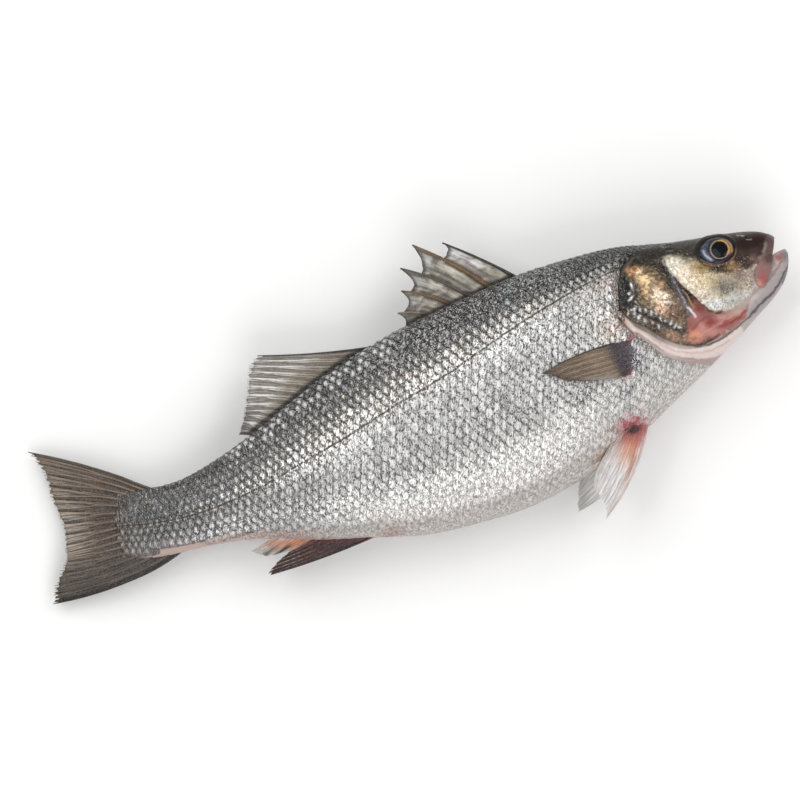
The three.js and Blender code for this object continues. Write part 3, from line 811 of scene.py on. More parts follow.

# %% [markdown]
# Folds and the edges of bones are thin strokes; several dark strokes in creases and along edges are
# painted shade, and some pale strokes are painted highlights and reflections. The glints along the
# rim of the gill cover are beads of silver in the skin: each one is a painted glint, a bright oval,
# on a slightly larger dark oval set a little lower and further back as its painted shadow.

# %% Lines and glints of the head
LINES = [  # region, points, half width, strength and colour
    ("skin", [(147, 34.8), (153.8, 33.9), (161, 33.4), (168.6, 33.6)], 0.7, 0.8, "#1f1b16"),
    # painted reflection: a bluish streak in the groove behind the cheek, with painted glints at its
    # top and its lower end; the gold stroke is pigment
    ("skin", [(147.1, 21.7), (148, 14), (148.7, 6), (149, -1.2)], 1.2, 0.7, "#6b6d7c"),
    ("skin", [(147.6, 18), (148.6, 10), (149, 3)], 0.5, 0.45, "#a3abc4"),
    ("skin", [(150.2, 13), (151.2, 8), (152, 2)], 0.5, 0.9, "#c19a63"),
    ("skin", [(145.8, 31.5), (147.2, 26), (147.9, 22)], 0.6, 0.9, "#dfdcd8"),
    ("skin", [(149.4, 2.6), (150.2, -0.6), (151.4, -3.6)], 0.65, 1, "#efe8e6"),
    ("flesh", [(168, -13.4), (173, -13.2), (178.4, -10.4)], 0.7, 0.8, "#913c38"),
    ("flesh", [(150, -14.6), (157, -13), (165, -11.4), (172, -10.6)], 0.7, 0.4, "#deb0a8"),
    ("flesh", [(148, -9.4), (154, -6.4), (160, -6.2)], 0.7, 0.5, "#7d3a38"),
    # painted shade: a dark stroke along the lower rear edge of the cheek
    ("skin", [(157.6, 0.8), (159.3, -2.7), (162.3, -5.4), (166, -6.6)], 0.6, 0.8, "#55291f"),
    ("lip", [(208.2, 20.6), (206.4, 16.4), (203.8, 12.8)], 0.6, 0.9, "#b39a98"),
    ("skin", [(203.4, 22.6), (201.2, 17.6), (198.6, 14.4)], 0.5, 0.4, "#8c7472"),
    ("skin", [(195.8, 12.5), (190.9, 7), (189.4, 2), (190.6, -1.6)], 0.5, 0.5, "#6b4a48"),
    # painted highlights: a pale stroke on the lip bone, and the next one along the top of the jaw
    ("skin", [(196.4, 14.4), (192.6, 11.6), (189.6, 8.4)], 0.5, 0.5, "#b7a49e"),
    ("jaw", [(207.4, 8), (203, 4.6), (197.6, 1), (191, -2.4), (184.4, -6.6)], 0.6, 0.7, "#cfc3c2"),
    ("jaw", [(211, 8), (209.4, 3.6), (203, -2), (195, -6.6)], 1, 0.4, "#aaa4a5"),
    ("skin", [(212, 12), (211, 6), (208, 0.6), (203, -4.2)], 0.7, 0.6, "#454041"),
    # painted shade in the creases of the jaw and the lip
    ("skin", JAW_CREASE, 0.6, 0.75, "#453b3c"),
    ("jaw", LIP_CREASE, 0.6, 0.5, "#6a4c4b"),
    # painted shade: darker strokes along the folds of the throat skin, here and in the next stroke
    ("throat", [(117.4, 0.4), (123.5, -8.4), (128.7, -16.4), (134.6, -21.6), (149.3, -28.2),
                (156, -29.2)], 0.7, 0.7, "#8d7671"),
    ("throat", [(124, -5.4), (132, -15.4), (142, -21.6), (152, -24), (164, -22.6)], 0.6, 0.4,
     "#b79a95"),
    ("throat", [(130, -10.6), (140, -18.4), (152, -21.8), (166, -20.2)], 0.8, 0.6, "#eee4e1"),
    # painted highlights at the nostrils
    ("skin", [(189.4, 29.6), (192, 28.4), (194.4, 27.4)], 0.35, 0.9, "#c9c7c6"),
    ("skin", [(193.4, 25.4), (196, 24.6)], 0.35, 0.8, "#b5b1b0"),
]
BEADS = [  # place, half length and turn
    (124.9, 24.4, 1.7, 70), (122.6, 22, 1.5, 60), (121.9, 18.6, 1.6, 40),
    (123.6, 15.4, 1.5, 80), (121.4, 12.6, 1.3, 30), (124.6, 11.6, 1.2, 70),
    (127, 9.8, 1.4, 60), (129.2, 7.4, 1.3, 70), (131.3, 5.2, 1.4, 60), (133.2, 2.8, 1.3, 70),
    (135.2, 0.6, 1.4, 60), (137.2, -1.6, 1.4, 65), (139.3, -3.8, 1.4, 60),
    (141, -5.8, 1.2, 50), (117.6, 12, 1.2, 40), (120.2, 9.6, 1.3, 60), (122.6, 7.2, 1.5, 60),
    (125, 4.6, 1.4, 70), (127.6, 1.8, 1.2, 60), (130.2, -1.6, 1.1, 60),
]
BEAD_TONES = ("#f6f7f7", "#dfe7ea", "#f1ece4", "#cfd8de")


def bead_glazes(x, y):
    """For each bead a dark oval as its painted shadow and a bright one on it as its painted glint.
    No two have the same size and turn.
    """
    for k, (bx, by, length, turn) in enumerate(BEADS):
        turn = turn + 24 * np.sin(5.1 * k)
        length, width = length * (0.95 + 0.25 * np.sin(3.7 * k)), 0.62 + 0.16 * np.cos(2.9 * k)
        shadow = blot(x, y, (bx - 0.5, by - 0.4), (length + 0.7, width + 0.6), turn)
        yield 0.8 * shadow, "#2a2724"
        yield 1.5 * blot(x, y, (bx, by), (length, width), turn), BEAD_TONES[k % 4]


print(len(LINES), "lines and", len(BEADS), "beads")

# %% [markdown]
# Now all of it is laid on in order, from the ground up. The same places also get two more
# values: how speckled the skin is, and how much it glitters like foil.

# %% Paint of the head


def paint_head(x, y):
    """Colours of the head's skin, its regions, and the height over the edge of the crown."""
    wx, wy = ragged(x, y)
    region = head_regions(x, y, wx, wy)
    over_crown = wy - np.interp(x, *np.array(CROWN_LINE).T)
    cheek_far, cover_far = edge_distance(CHEEK, x, y), edge_distance(GILL_COVER, x, y)
    # the groove behind the cheek and the gap behind the gill cover, both painted dark as painted
    # shade
    groove = ease((cheek_far + 0.1) / 0.8) * ease((5.2 - cheek_far) / 2) * ease((157 - x) / 3)
    groove *= ease((34 - y) / 3) * ease((y + 7) / 5)
    reach = 1.7 + 0.9 * cloud(x, y, 2.6, 9.0)
    gap = region["gap"] * ease((reach - cover_far) / 1.3) * ease((130 - x) / 6)
    gap *= ease((y - 9) / 6) * ease((37 - y) / 4)
    eye_rim = eye_distance(x, y)
    canvas = layers(x, [
        (1, "#958c82"), (ease((2 - wy) / 16), "#b9aca6"), (ease((-19 - wy) / 8), "#b09b95"),
        (ease((over_crown + 1.5) / 3), "#2b2821"), (ease((over_crown - 1) / 5) * 0.9, "#1d1b16"),
        (region["cover"] * (1 - ease((x - 158) / 6)), "#66564c"), (region["bone"], "#75644f"),
        # painted shade: the groove behind the cheek is painted dark
        (groove * 0.95, "#2a2420"),
        *((region[name], colour) for name, colour in GROUNDS),
        *((region[name] * blot(wx, wy, (px, py), (length, width), turn) * strength, colour)
          for name, px, py, length, width, turn, strength, colour in PATCHES),
        # painted shade: dark strokes in the crease of the gill cover and along its lower edge
        (stroke(GILL_CREASE, x, y, 0.9) * 0.95, "#221812"),
        (region["cover"] * stroke(GILL_COVER[4:11], x, y, 0.8) * 0.6, "#36281f"),
        *((region[name] * stroke(points, 0.5 * (x + wx), 0.5 * (y + wy), width) * strength, colour)
          for name, points, width, strength, colour in LINES),
        *bead_glazes(wx, wy),
        # painted shade in the pits of the nostrils
        *((blot(x, y, (px, py), (size, size * 0.7)) * 1.2, "#0f0a09")
          for px, py, size in NOSTRILS),
        # painted shade: the gap behind the gill cover is painted near black
        (gap, "#13110e"), (near(eye_rim, 1.1, 0.12) * 0.95, "#241e19"),
        (near(eye_rim, 1.1, 0.05) * ease((EYE_Y - 1 - y) / 4) * 0.9, "#b07c52"),
    ])
    return canvas, region, over_crown


def head_shine(x, region, over_crown):
    """How speckled, and how much like foil, the skin of the head is."""
    cover, cheek, bare_flesh = region["cover"], region["cheek"], region["flesh"]
    speck = np.maximum(0.75 * cheek, 0.8 * cover) * (1 - bare_flesh) * (1 - region["throat"])
    speck *= (1 - 0.45 * cheek * ease((160 - x) / 8)) * (1 + 0.3 * cheek)
    speck *= 1 - 0.7 * ease((over_crown + 6) / 5) * (1 - cheek)
    dark_crown = 0.16 * ease((over_crown + 1.5) / 3) * (1 - region["snout"])
    foil = np.maximum(region["bone"], 0.6 * region["rim"]) * (1 - bare_flesh)
    foil = np.maximum(foil, 0.35 * cheek * ease((x - 150) / 8))
    return np.clip(np.maximum(speck, dark_crown), 0.06, 1), foil


# %% [markdown]
# The skin under the scales shows only in gaps and is painted more simply. Then every point of
# the body gets its colour by its place in the drawing. The cut has made new points on the head,
# so there the places are read from the mesh itself.

# %% Paint of the trunk


def paint_trunk(x, y):
    """The skin under the scales, which shows only in the gaps."""
    depth = (section(x, TOP) - y) / (section(x, TOP) - section(x, BOTTOM))
    return layers(x, [
        (ease((depth - 0.3) / 0.4), "#5e5b56"),
        (ease((depth - 0.72) / 0.14) * ease((x + 130) / 40), "#bdb6b0"),
        (ease((depth - 0.84) / 0.06) * ease((-70 - x) / 20), "#bfaaa3"),
        (0.8 * blot(x, y, (-50, -55), (12, 3.6), 12), "#a37d78"),
        (blot(x, y, (100, -50), (7, 4)), "#b2646a"), (ease((-170 - x) / 13), "#4b4139"),
    ], ground=0.2)


drawn = points_of(body) / MM - SHIFT
fish_x, fish_y = read_mark(body, "fish_x"), read_mark(body, "fish_y")
front = drawn[:, 0] > HEAD_FROM
fish_x, fish_y = np.where(front, drawn[:, 0], fish_x), np.where(front, drawn[:, 1], fish_y)
tint = paint_trunk(fish_x, fish_y)
bare = filled(BARE_HEAD, fish_x[front], fish_y[front], 2.0)
head_paint, region, over_crown = paint_head(fish_x[front], fish_y[front])
tint[front] += (head_paint - tint[front]) * bare[:, None]
speck, foil = np.full(len(drawn), 0.1), np.zeros(len(drawn))
speck[front], foil[front] = head_shine(fish_x[front], region, over_crown)
for name in ("fish_x", "fish_y"):
    body.data.attributes.remove(body.data.attributes[name])
for name, values in (("tint", tint), ("speck", speck), ("foil", foil)):
    mark(body, name, values)
close_up(body, gap=0, angle=60)
print("painted", len(drawn), "points,", front.sum(), "of them on the head")

# %% [markdown]
# ## Finishes
# Wet fish skin is a clear wet film over pigment, with silver crystals in places. The principled
# shader covers all of it: base colour from the stored paint, some metal where it is silvery,
# and low roughness. Each finish adds its own speckles, pores or fibres with noise. The helpers
# below put their nodes into the tree that was opened last, as strokes go onto the open page.

# %% A small kit for shader nodes


def feed(socket, value):
    """Links an output to a socket, or sets a number or a colour directly on it."""
    if isinstance(value, bpy.types.NodeSocket):
        tree.links.new(value, socket)
    else:
        socket.default_value = value


def plug(made, **inputs):
    """Feeds the sockets of a node: Base_Color is the socket Base Color, _0 is the first."""
    for key, value in inputs.items():
        key = int(key[1:]) if key[1:].isdigit() else key.replace("_", " ")
        feed(made.inputs[key], value)
    return made


def node(kind, settings=(), **inputs):
    """Adds a node with its settings and feeds its sockets."""
    made = tree.nodes.new(kind)
    for key, value in dict(settings).items():
        setattr(made, key, value)
    return plug(made, **inputs)


def principled(material):
    """The node tree of a material and its main shader."""
    material.use_nodes = True
    return material.node_tree, material.node_tree.nodes["Principled BSDF"]


def stored(name, output="Fac"):
    """A number that is stored on the points. The output Color gives a stored colour."""
    return node("ShaderNodeAttribute", {"attribute_name": name}).outputs[output]


def maths(operation, a, b=0.0):
    """One step of arithmetic on two values."""
    return node("ShaderNodeMath", {"operation": operation}, _0=a, _1=b).outputs[0]


def times(first, *others):
    """The product of all the values."""
    for other in others:
        first = maths("MULTIPLY", first, other)
    return first


def between(value, low, high, to_low=0.0, to_high=1.0):
    """Maps a value smoothly from one range onto another."""
    settings = {"interpolation_type": "SMOOTHSTEP"}
    made = node("ShaderNodeMapRange", settings, Value=value, From_Min=low, From_Max=high,
                To_Min=to_low, To_Max=to_high)
    return made.outputs[0]


def mixed(amount, a, b, how="MIX"):
    """Two colours mixed, or b laid over a in another way of blending."""
    settings = {"data_type": "RGBA", "blend_type": how}
    return node("ShaderNodeMix", settings, _0=amount, _6=a, _7=b).outputs[2]


def grey(value):
    """A grey as a colour."""
    return (value, value, value, 1)


def dimmed(colour, value):
    """A colour times a number."""
    return mixed(1.0, colour, grey(value), "MULTIPLY")


# %% [markdown]
# Noise makes speckles and pores. It is measured in millimetres on the piece, so that a spot
# keeps its size whatever the piece is.

# %% Noise and bumps


def laid(size_mm, stretch=(1, 1, 1), turn=0.0):
    """The place on the piece, measured in pieces of this many millimetres."""
    place = node("ShaderNodeTexCoord").outputs["Object"]
    return node("ShaderNodeMapping", {"vector_type": "TEXTURE"}, Vector=place,
                Rotation=(0, 0, turn), Scale=[size_mm * MM * s for s in stretch]).outputs[0]


def grain(size_mm, detail=2.0, stretch=(1, 1, 1), roughness=0.5, turn=0.0):
    """Noise whose spots are about this many millimetres wide."""
    place = laid(size_mm, stretch, turn)
    return node("ShaderNodeTexNoise", Vector=place, Scale=1.0, Detail=detail,
                Roughness=roughness).outputs[0]


def bump(height, depth_mm, strength=1.0):
    """Makes the surface look raised where the height is large."""
    return node("ShaderNodeBump", Height=height, Distance=depth_mm * MM,
                Strength=strength).outputs[0]


# %% [markdown]
# ## Skin of the head, and flesh
# The head has no scales. Its wet skin is finely speckled with dark pigment and with light specks
# that are partly pale pigment and partly painted sparkle, and over silver, as on the gill bone, it
# glitters in flakes like crumpled foil, each flake painted lighter or darker as painted glitter.
# The speckles are noise of two sizes, and the flakes are the cells of a crumpled pattern. The
# flesh in the mouth is red and streaky under a thick wet coat.

# %% Skin of the head
tree, skin = principled(head_skin)
base, speck = stored("tint", "Color"), stored("speck")
patchy = between(grain(5, 2), 0.35, 0.65, 0.35, 1)
dark_spots = times(between(grain(1.1, 4, roughness=0.75), 0.46, 0.62), patchy)
light_spots = between(grain(0.9, 3, roughness=0.7), 0.55, 0.68)
fine = between(grain(0.4, 1), 0.35, 0.65)
speckled = mixed(1, base, (0.2, 0.17, 0.14, 1), "MULTIPLY")
colour = mixed(times(dark_spots, speck, 0.8), base, speckled)
# the light spots are partly pale pigment and partly painted sparkle
bright = dimmed(mixed(0.35, base, (1, 0.9, 0.75, 1)), 1.5)
colour = mixed(times(light_spots, speck, 0.7), colour, bright)
colour = mixed(times(fine, 0.18), colour, dimmed(colour, 0.5))

crumple = node("ShaderNodeTexNoise", Vector=laid(1.2), Scale=1, Detail=3)
crumpled = node("ShaderNodeVectorMath", {"operation": "ADD"}, _0=laid(1.5),
                _1=crumple.outputs["Color"]).outputs[0]
flakes = node("ShaderNodeTexVoronoi", Vector=crumpled, Scale=1).outputs["Color"]
flakes = node("ShaderNodeSeparateColor", Color=flakes).outputs[0]
# painted glitter: each flake is made lighter or darker, as foil catches the light
shade = mixed(between(flakes, 0.1, 0.9), grey(0.4), grey(1.6))
shade = mixed(1, colour, shade, "MULTIPLY")
colour = mixed(times(stored("foil"), 0.75), colour, shade)
plug(
    skin, Base_Color=colour,
    Roughness=between(grain(6), 0.3, 0.7, 0.22, 0.4),
    Metallic=times(speck, 0.2), Specular_IOR_Level=0.15,
    Normal=bump(mixed(0.5, dark_spots, fine), 0.12, 0.7),
    Coat_Weight=0.1, Coat_Roughness=0.08,
)
print("skin of the head:", len(tree.nodes), "nodes")

# %% Flesh, and the body handed over
tree, meat = principled(flesh)
streak = between(grain(1.6, 3), 0.35, 0.65)
plug(
    meat, Base_Color=mixed(streak, (0.36, 0.09, 0.08, 1), (0.62, 0.27, 0.24, 1)),
    Roughness=between(grain(3), 0.3, 0.7, 0.2, 0.38),
    Normal=bump(streak, 0.2, 0.8), Coat_Weight=0.6,
)
hand_over(body, "head_skin", head_skin, flesh)

# %% [markdown]
# ## Eyes
# The eye is a shallow dome under a clear cornea: black-blue pupil, thin gold ring, an iris that
# is blue and violet behind and orange in front. A flattened ball with close rings carries the
# paint, and the shader's clear coat stands for the cornea, which keeps it one closed piece.

# %% Paint of an eye
PUPIL_X, PUPIL_Y = 177.3, 25.9


def paint_eye(x, y):
    """The colours of the eye at places seen from the side, with a painted highlight, and painted
    shade under the brow.
    """
    dx, dy = x - PUPIL_X, y - PUPIL_Y
    wobble = 0.35 * cloud(x, y, 1.8, 5.0)
    radius = np.hypot(dx, dy) + wobble * 0.3
    turn = np.degrees(np.arctan2(dy, dx))
    frontness = ease((np.cos(np.radians(turn - 4)) - 0.1 + wobble) / 0.5)
    return layers(x, [
        (1, "#3d455a"), (ease(cloud(x, y, 1.2, 6.0) + 0.2) * 0.7, "#626a7e"),
        (frontness, "#b98a5c"),
        (frontness * ease(cloud(x, y, 0.9, 7.0) + 0.2) * 0.8, "#e9bd92"),
        (ease((-dy - 3.4) / 1.6) * ease((dx + 7) / 3) * 0.9, "#39334c"),
        (ease((dx - 6.6) / 0.8) * ease((1 - dy) / 3) * 0.7, "#3d4666"),
        # painted highlight: a pale crescent on the rear of the eye
        (stroke([(168.6, 28.4), (168.9, 25.6), (170.8, 22.4)], x, y, 0.8), "#bcbcc4"),
        # painted shade under the brow, over the top of the eye
        (ease((dy - 4.6 + 0.1 * dx) / 1.6), "#231f1a"),
        (ease((eye_distance(x, y) - 0.88) / 0.12), "#1c1815"),
        (near(radius, 6.0, 0.45) * (1 - 0.6 * frontness), "#181d33"),
        (ease(1.15 - np.abs(radius - 5.0) / 0.24), "#d3ae5c"),
        (ease((4.75 - radius) / 0.3), "#060912"),
    ])


print("paint of the pupil:", paint_eye(np.array([PUPIL_X]), np.array([PUPIL_Y])).round(3))

# %% [markdown]
# The ball is pressed into a lens, turned to the long axis of the opening, tilted with the slope
# of the head, and sunk a little. The left eye is the same one on the other side.

# %% Two eyes
EYE_HALF, EYE_SINK, EYE_TILT = (10.1, 8.7, 4.2), 1.2, np.radians(33)
eye_finish = bpy.data.materials.new("wet_eye")
tree, glassy = principled(eye_finish)
fibres = between(grain(0.35, 2), 0.35, 0.65)
base = stored("tint", "Color")
plug(
    glassy, Base_Color=mixed(times(fibres, 0.35), base, dimmed(base, 0.5)),
    Roughness=between(fibres, 0, 1, 0.18, 0.3), Normal=bump(fibres, 0.04, 0.4),
    Specular_IOR_Level=0.08, Coat_Weight=0.25, Coat_Roughness=0.02,
)
turn_x, turn_y = np.cos(EYE_TURN), np.sin(EYE_TURN)
tilt_y, tilt_z = np.sin(EYE_TILT), np.cos(EYE_TILT)
for side, name in ((1, "right_eye"), (-1, "left_eye")):
    eye = add_shape(name, bpy.ops.mesh.primitive_uv_sphere_add, segments=96, ring_count=48,
                    radius=1)
    ball_x, ball_y, ball_z = (points_of(eye) * EYE_HALF).T
    eye_x = EYE_X + ball_x * turn_x - ball_y * turn_y
    eye_y = ball_x * turn_y + ball_y * turn_x
    place_y = EYE_Y + eye_y * tilt_z + (ball_z - EYE_SINK) * tilt_y
    out = flank_height(EYE_X, EYE_Y) - eye_y * tilt_y + (ball_z - EYE_SINK) * tilt_z
    move_points(eye, lay(eye_x, place_y, side * out))
    mark(eye, "tint", paint_eye(eye_x, place_y))
    close_up(eye)
    hand_over(eye, "eye", eye_finish)

# %% [markdown]
# ## Scales
# A scale is a stiff round-ended plate whose front is hidden in a pocket of skin and whose rear
# lies over the next scales like a roof tile. One plate is modelled from a grid of twenty faces,
# given thickness, and copied along rows that run beside the side line of the fish. Real plates
# catch the light one by one, which a printed pattern never does.

# %% One scale
PLATE_ALONG, PLATE_ACROSS = 5, 6  # points each way
scale = add_grid("one_scale", PLATE_ALONG, PLATE_ACROSS)
bpy.ops.object.mode_set(mode="EDIT")
bpy.ops.mesh.select_all(action="SELECT")
bpy.ops.mesh.extrude_region_move(TRANSFORM_OT_translate={"value": (0, 0, 1)})
bpy.ops.mesh.select_all(action="DESELECT")
bpy.ops.object.mode_set(mode="OBJECT")
for face in scale.data.polygons:
    face.select = face.center.z < 0.01
bpy.ops.object.mode_set(mode="EDIT")
bpy.ops.mesh.select_mode(type="FACE")
bpy.ops.mesh.dissolve_faces()
bpy.ops.mesh.select_all(action="SELECT")
bpy.ops.mesh.normals_make_consistent(inside=False)
bpy.ops.object.mode_set(mode="OBJECT")
plate = points_of(scale)
plate_along, plate_across, plate_top = (plate[:, 0] + 1) / 2, plate[:, 1], plate[:, 2] > 0.5
print("one scale has", len(scale.data.polygons), "faces")

# %% [markdown]
# The rows follow the side line, so every place on the flank is measured as a distance round the
# body from that line. A table of these distances turns "so far along, so far round" into a
# point on the skin.

# %% Distances from the side line
SIDE_LINE = [
    (-190, -4.1), (-130, -4.5), (-100, -2.5), (-75, 1.5), (-51, 5.2), (-18, 11.7),
    (14.5, 17.2), (53, 26.5), (91, 33.4), (118, 36), (150, 35.5), (170, 33),
]


def curve_at(points, x):
    """The height of a drawn curve at x."""
    return smooth_value(*np.array(points).T, x)


STATIONS = np.linspace(-189, 165, 355)
GIRTH = np.linspace(-0.45, np.pi + 0.45, 420)
station_x, girth_angle = np.meshgrid(STATIONS, GIRTH, indexing="ij")
_, girth_y, girth_z = skin_point(station_x, girth_angle, 0.0)
step = np.hypot(np.diff(girth_y, axis=1), np.diff(girth_z, axis=1))
run = np.hstack([np.zeros((len(STATIONS), 1)), np.cumsum(step, axis=1)])
line_y = curve_at(SIDE_LINE, STATIONS)
middle = slice(np.searchsorted(GIRTH, 0), np.searchsorted(GIRTH, np.pi))
nearest = np.argmin(np.abs(girth_y[:, middle] - line_y[:, None]), axis=1) + middle.start
run -= run[np.arange(len(STATIONS)), nearest][:, None]
REACH = np.linspace(-70, 125, 391)
angle_at = np.array([np.interp(REACH, line, GIRTH) for line in run])
back_reach = np.array([np.interp(0, GIRTH, line) for line in run])
belly_reach = np.array([np.interp(np.pi, GIRTH, line) for line in run])
print("from the back to the belly, mm", (belly_reach - back_reach).max().round(1))

# %% [markdown]
# Reading the table between its entries gives the angle of any place beside the side line.

# %% From a distance to an angle


def girth_angle_at(x, reach):
    """The angle round the body at a distance from the side line."""
    i = np.clip((x - STATIONS[0]) / (STATIONS[1] - STATIONS[0]), 0, len(STATIONS) - 1.001)
    j = np.clip((reach - REACH[0]) / (REACH[1] - REACH[0]), 0, len(REACH) - 1.001)
    i0, j0 = i.astype(int), j.astype(int)
    u, v = i - i0, j - j0
    a = angle_at[i0, j0] * (1 - v) + angle_at[i0, j0 + 1] * v
    b = angle_at[i0 + 1, j0] * (1 - v) + angle_at[i0 + 1, j0 + 1] * v
    return a * (1 - u) + b * u


print("half a turn from the back lies", girth_angle_at(np.zeros(1), np.zeros(1)).round(2))

# %% [markdown]
# Real scales stand in slanting rows, every second one shifted by half a scale, and are largest
# on the flank. So columns are set one pitch apart from head to tail, and rows are counted up
# and down from the side line. The bare head, the tail and the rear belly get no scales.

# %% Rows beside the side line
PITCH = [(-190, 3.0), (-180, 3.4), (-150, 4.1), (-110, 4.2), (-60, 4.3), (0, 4.8), (60, 4.8),
         (105, 4.0), (130, 3.0), (165, 2.4)]
ROW_WIDTH = [(-190, 3.4), (-150, 4.1), (-110, 4.7), (-60, 5.1), (0, 5.4), (60, 5.3), (105, 4.6),
             (130, 3.6), (165, 2.8)]
LAST_ZONE = [(-186, 1.0), (-177, 0.86), (-166, 0.7), (-145, 0.79), (-120, 0.87), (-52, 0.94),
             (-30, 1.02)]
FIRST_COLUMN, LAST_COLUMN = 158.0, -187
ROWS_UP, ROWS_DOWN = 18, 36
NARROWER_UP, NARROWER_DOWN = 0.007, 0.0045  # how much less wide each row is than the one before

columns = [FIRST_COLUMN]
while columns[-1] > LAST_COLUMN:
    columns.append(columns[-1] - float(curve_at(PITCH, columns[-1])))
seats = []
for x in columns:
    width, pitch = float(curve_at(ROW_WIDTH, x)), float(curve_at(PITCH, x))
    top, bottom = np.interp(x, STATIONS, back_reach), np.interp(x, STATIONS, belly_reach)
    for line in range(-ROWS_UP, ROWS_DOWN):
        row_width = width * (1 - (NARROWER_DOWN if line > 0 else NARROWER_UP) * abs(line))
        if top + 0.6 < line * row_width < bottom + 0.5:
            shift = pitch / 2 if line % 2 else 0
            seats.append((x - shift, line * row_width, row_width, pitch, line))
seats = np.array(seats)
seat_x = seats[:, 0]
_, seat_y, _ = skin_point(seat_x, girth_angle_at(seat_x, seats[:, 1]), 0.0)
line_height = curve_at(SIDE_LINE, seat_x)
above, below = section(seat_x, TOP) - line_height, line_height - section(seat_x, BOTTOM)
zone = (line_height - seat_y) / np.where(seat_y > line_height, above, below)
tail_end = -186 + 5 * np.minimum(((seat_y + 4) / 20) ** 4, 2)
tail_end += 2.6 * cloud(seat_x, seat_y, 2.3, 4.0)
last_zone = np.interp(seat_x, *np.array(LAST_ZONE).T)
keep = (edge_distance(BARE_HEAD, seat_x, seat_y) > 0.3) & (seat_x > tail_end) & (zone < last_zone)
seats, seat_x, seat_y, zone, last_zone, tail_end = (
    values[keep] for values in (seats, seat_x, seat_y, zone, last_zone, tail_end))
print(len(seats), "scales on each flank in", len(columns), "columns")

# %% [markdown]
# Each scale has its own colour: charcoal on the back, warm grey above the side line, cool
# silver below it, pearl on the belly. Small random shifts to blue, pink and yellow give the
# shimmer of real silver.

# %% Colours from back to belly


def ramp(value, start, end):
    """0 up to the start, 1 from the end on, and even in between."""
    return np.clip((value - start) / (end - start), 0, 1)


def net_tone(x, zone):
    """The dark skin between the glints. The zone is -1 on the back and 0 on the side line."""
    nape, stem = ramp(x, 20, 120), ramp(x, -50, -150)
    return layers(x, [
        (1, "#1b1a18"), (ramp(zone, -1, -0.5), "#35322e"), (ramp(zone, -0.5, -0.2), "#756e64"),
        (ramp(zone, -0.2, 0.1), "#7a7977"), (ramp(zone, 0.1, 0.45), "#73716e"),
        (ramp(zone, 0.45, 0.72), "#afaaa5"), (ramp(zone, 0.72, 0.95), "#aba5a0"),
        (nape * ramp(zone, -0.05, -0.25), "#242420"),
        (ramp(x, 70, 120) * ramp(zone, 0, 0.1) * ramp(zone, 0.75, 0.4), "#8e867c"),
        (stem, "#4a4a4a"), (stem * ramp(zone, -0.2, -1), "#3a3733"),
        (stem * ramp(zone, 0.3, 0.72), "#717173"), (stem * ramp(zone, 0.72, 0.95), "#b39791"),
        (ramp(x, -150, -188), "#4f4c49"),
    ])


def heart_tone(x, zone):
    """The bright heart of a scale, its own silver painted with a glint, by its place along the fish
    and its zone.
    """
    nape, stem = ramp(x, 20, 120), ramp(x, -50, -150)
    return layers(x, [
        (1, "#8e8b87"), (ramp(zone, -1, -0.5), "#b6b1aa"), (ramp(zone, -0.5, -0.2), "#f7f0e8"),
        (ramp(zone, -0.2, 0.1), "#f2f1f0"), (ramp(zone, 0.1, 0.45), "#e5e3e1"),
        (ramp(zone, 0.45, 0.72), "#d2cfcc"), (ramp(zone, 0.72, 0.95), "#c8c1be"),
        (nape * ramp(zone, -0.15, -0.5), "#5e5f5c"), (nape * ramp(zone, -0.5, -1), "#3e3b34"),
        (ramp(x, 75, 120) * ramp(zone, 0.1, -0.2) * ramp(zone, -0.6, -0.4), "#8b887f"),
        (ramp(x, 70, 120) * ramp(zone, 0.05, 0.4), "#ebe9e6"),
        (stem, "#959492"), (stem * ramp(zone, -0.5, -1), "#83807c"),
        (stem * ramp(zone, 0.3, 0.85), "#d0d1d6"), (stem * ramp(zone, 0.72, 0.95), "#ddc2bb"),
        (ramp(x, -150, -188), "#797777"),
    ])


print("a scale of the belly:", heart_tone(np.array([20.0]), np.array([0.8])).round(2))

# %% [markdown]
# Scales low on the flank lie flat and calm, those on the belly almost melt into one smooth
# skin, and those on the back show little silver. Each share is set by zone and place.

# %% How each scale lies and shines


def along_fish(*stops):
    """A value that changes along the fish, written as pairs of a place and a value."""
    return np.interp(seat_x, *np.array(stops).T)


def down_flank(*stops):
    """A value that changes from the back over the side line to the belly."""
    return np.interp(zone, *np.array(stops).T)


calm = down_flank((0.45, 0), (0.7, 1)) * along_fish((-140, 0), (-90, 1), (70, 1), (105, 0.5))
smooth_belly = ease((zone - last_zone + 0.2) / 0.16)
smooth_belly = smooth_belly * along_fish((-174, 0), (-162, 0.5), (-150, 0.5), (-110, 1))
relief = (1 - 0.75 * calm) * along_fish((-186, 0.25), (-150, 1))
relief *= (1 - 0.9 * smooth_belly) * along_fish((132, 1), (152, 0.4))
fullness = down_flank((-1, 0), (-0.55, 0.14), (-0.14, 0.56), (0.06, 0.95), (0.5, 0.95), (0.8, 1))
fullness *= along_fish((-150, 0.55), (-50, 1))
glitter = down_flank((-1, 0.75), (-0.5, 0.8), (0, 1), (0.6, 1), (0.83, 0.65))
glitter *= 1 - 0.85 * smooth_belly
glitter *= 1 - 0.6 * ease((-zone - 0.3) / 0.3) * ease((-seat_x - 5) / 40)
glitter *= along_fish((-190, 0.2), (-172, 0.4), (-140, 0.5), (-80, 0.85), (60, 1), (100, 1.1))
glitter *= 1 - 0.75 * ease((seat_x - 85) / 30) * ease((-zone - 0.2) / 0.4)
edge = down_flank((-1, 0.7), (-0.1, 0.8), (0.06, 0.15), (0.3, 0.22), (0.45, 0.75), (0.7, 0.4),
                (0.84, 0.12))
edge *= along_fish((-190, 0.3), (-150, 0.8), (-100, 1), (40, 1), (80, 0.6), (115, 0.4))
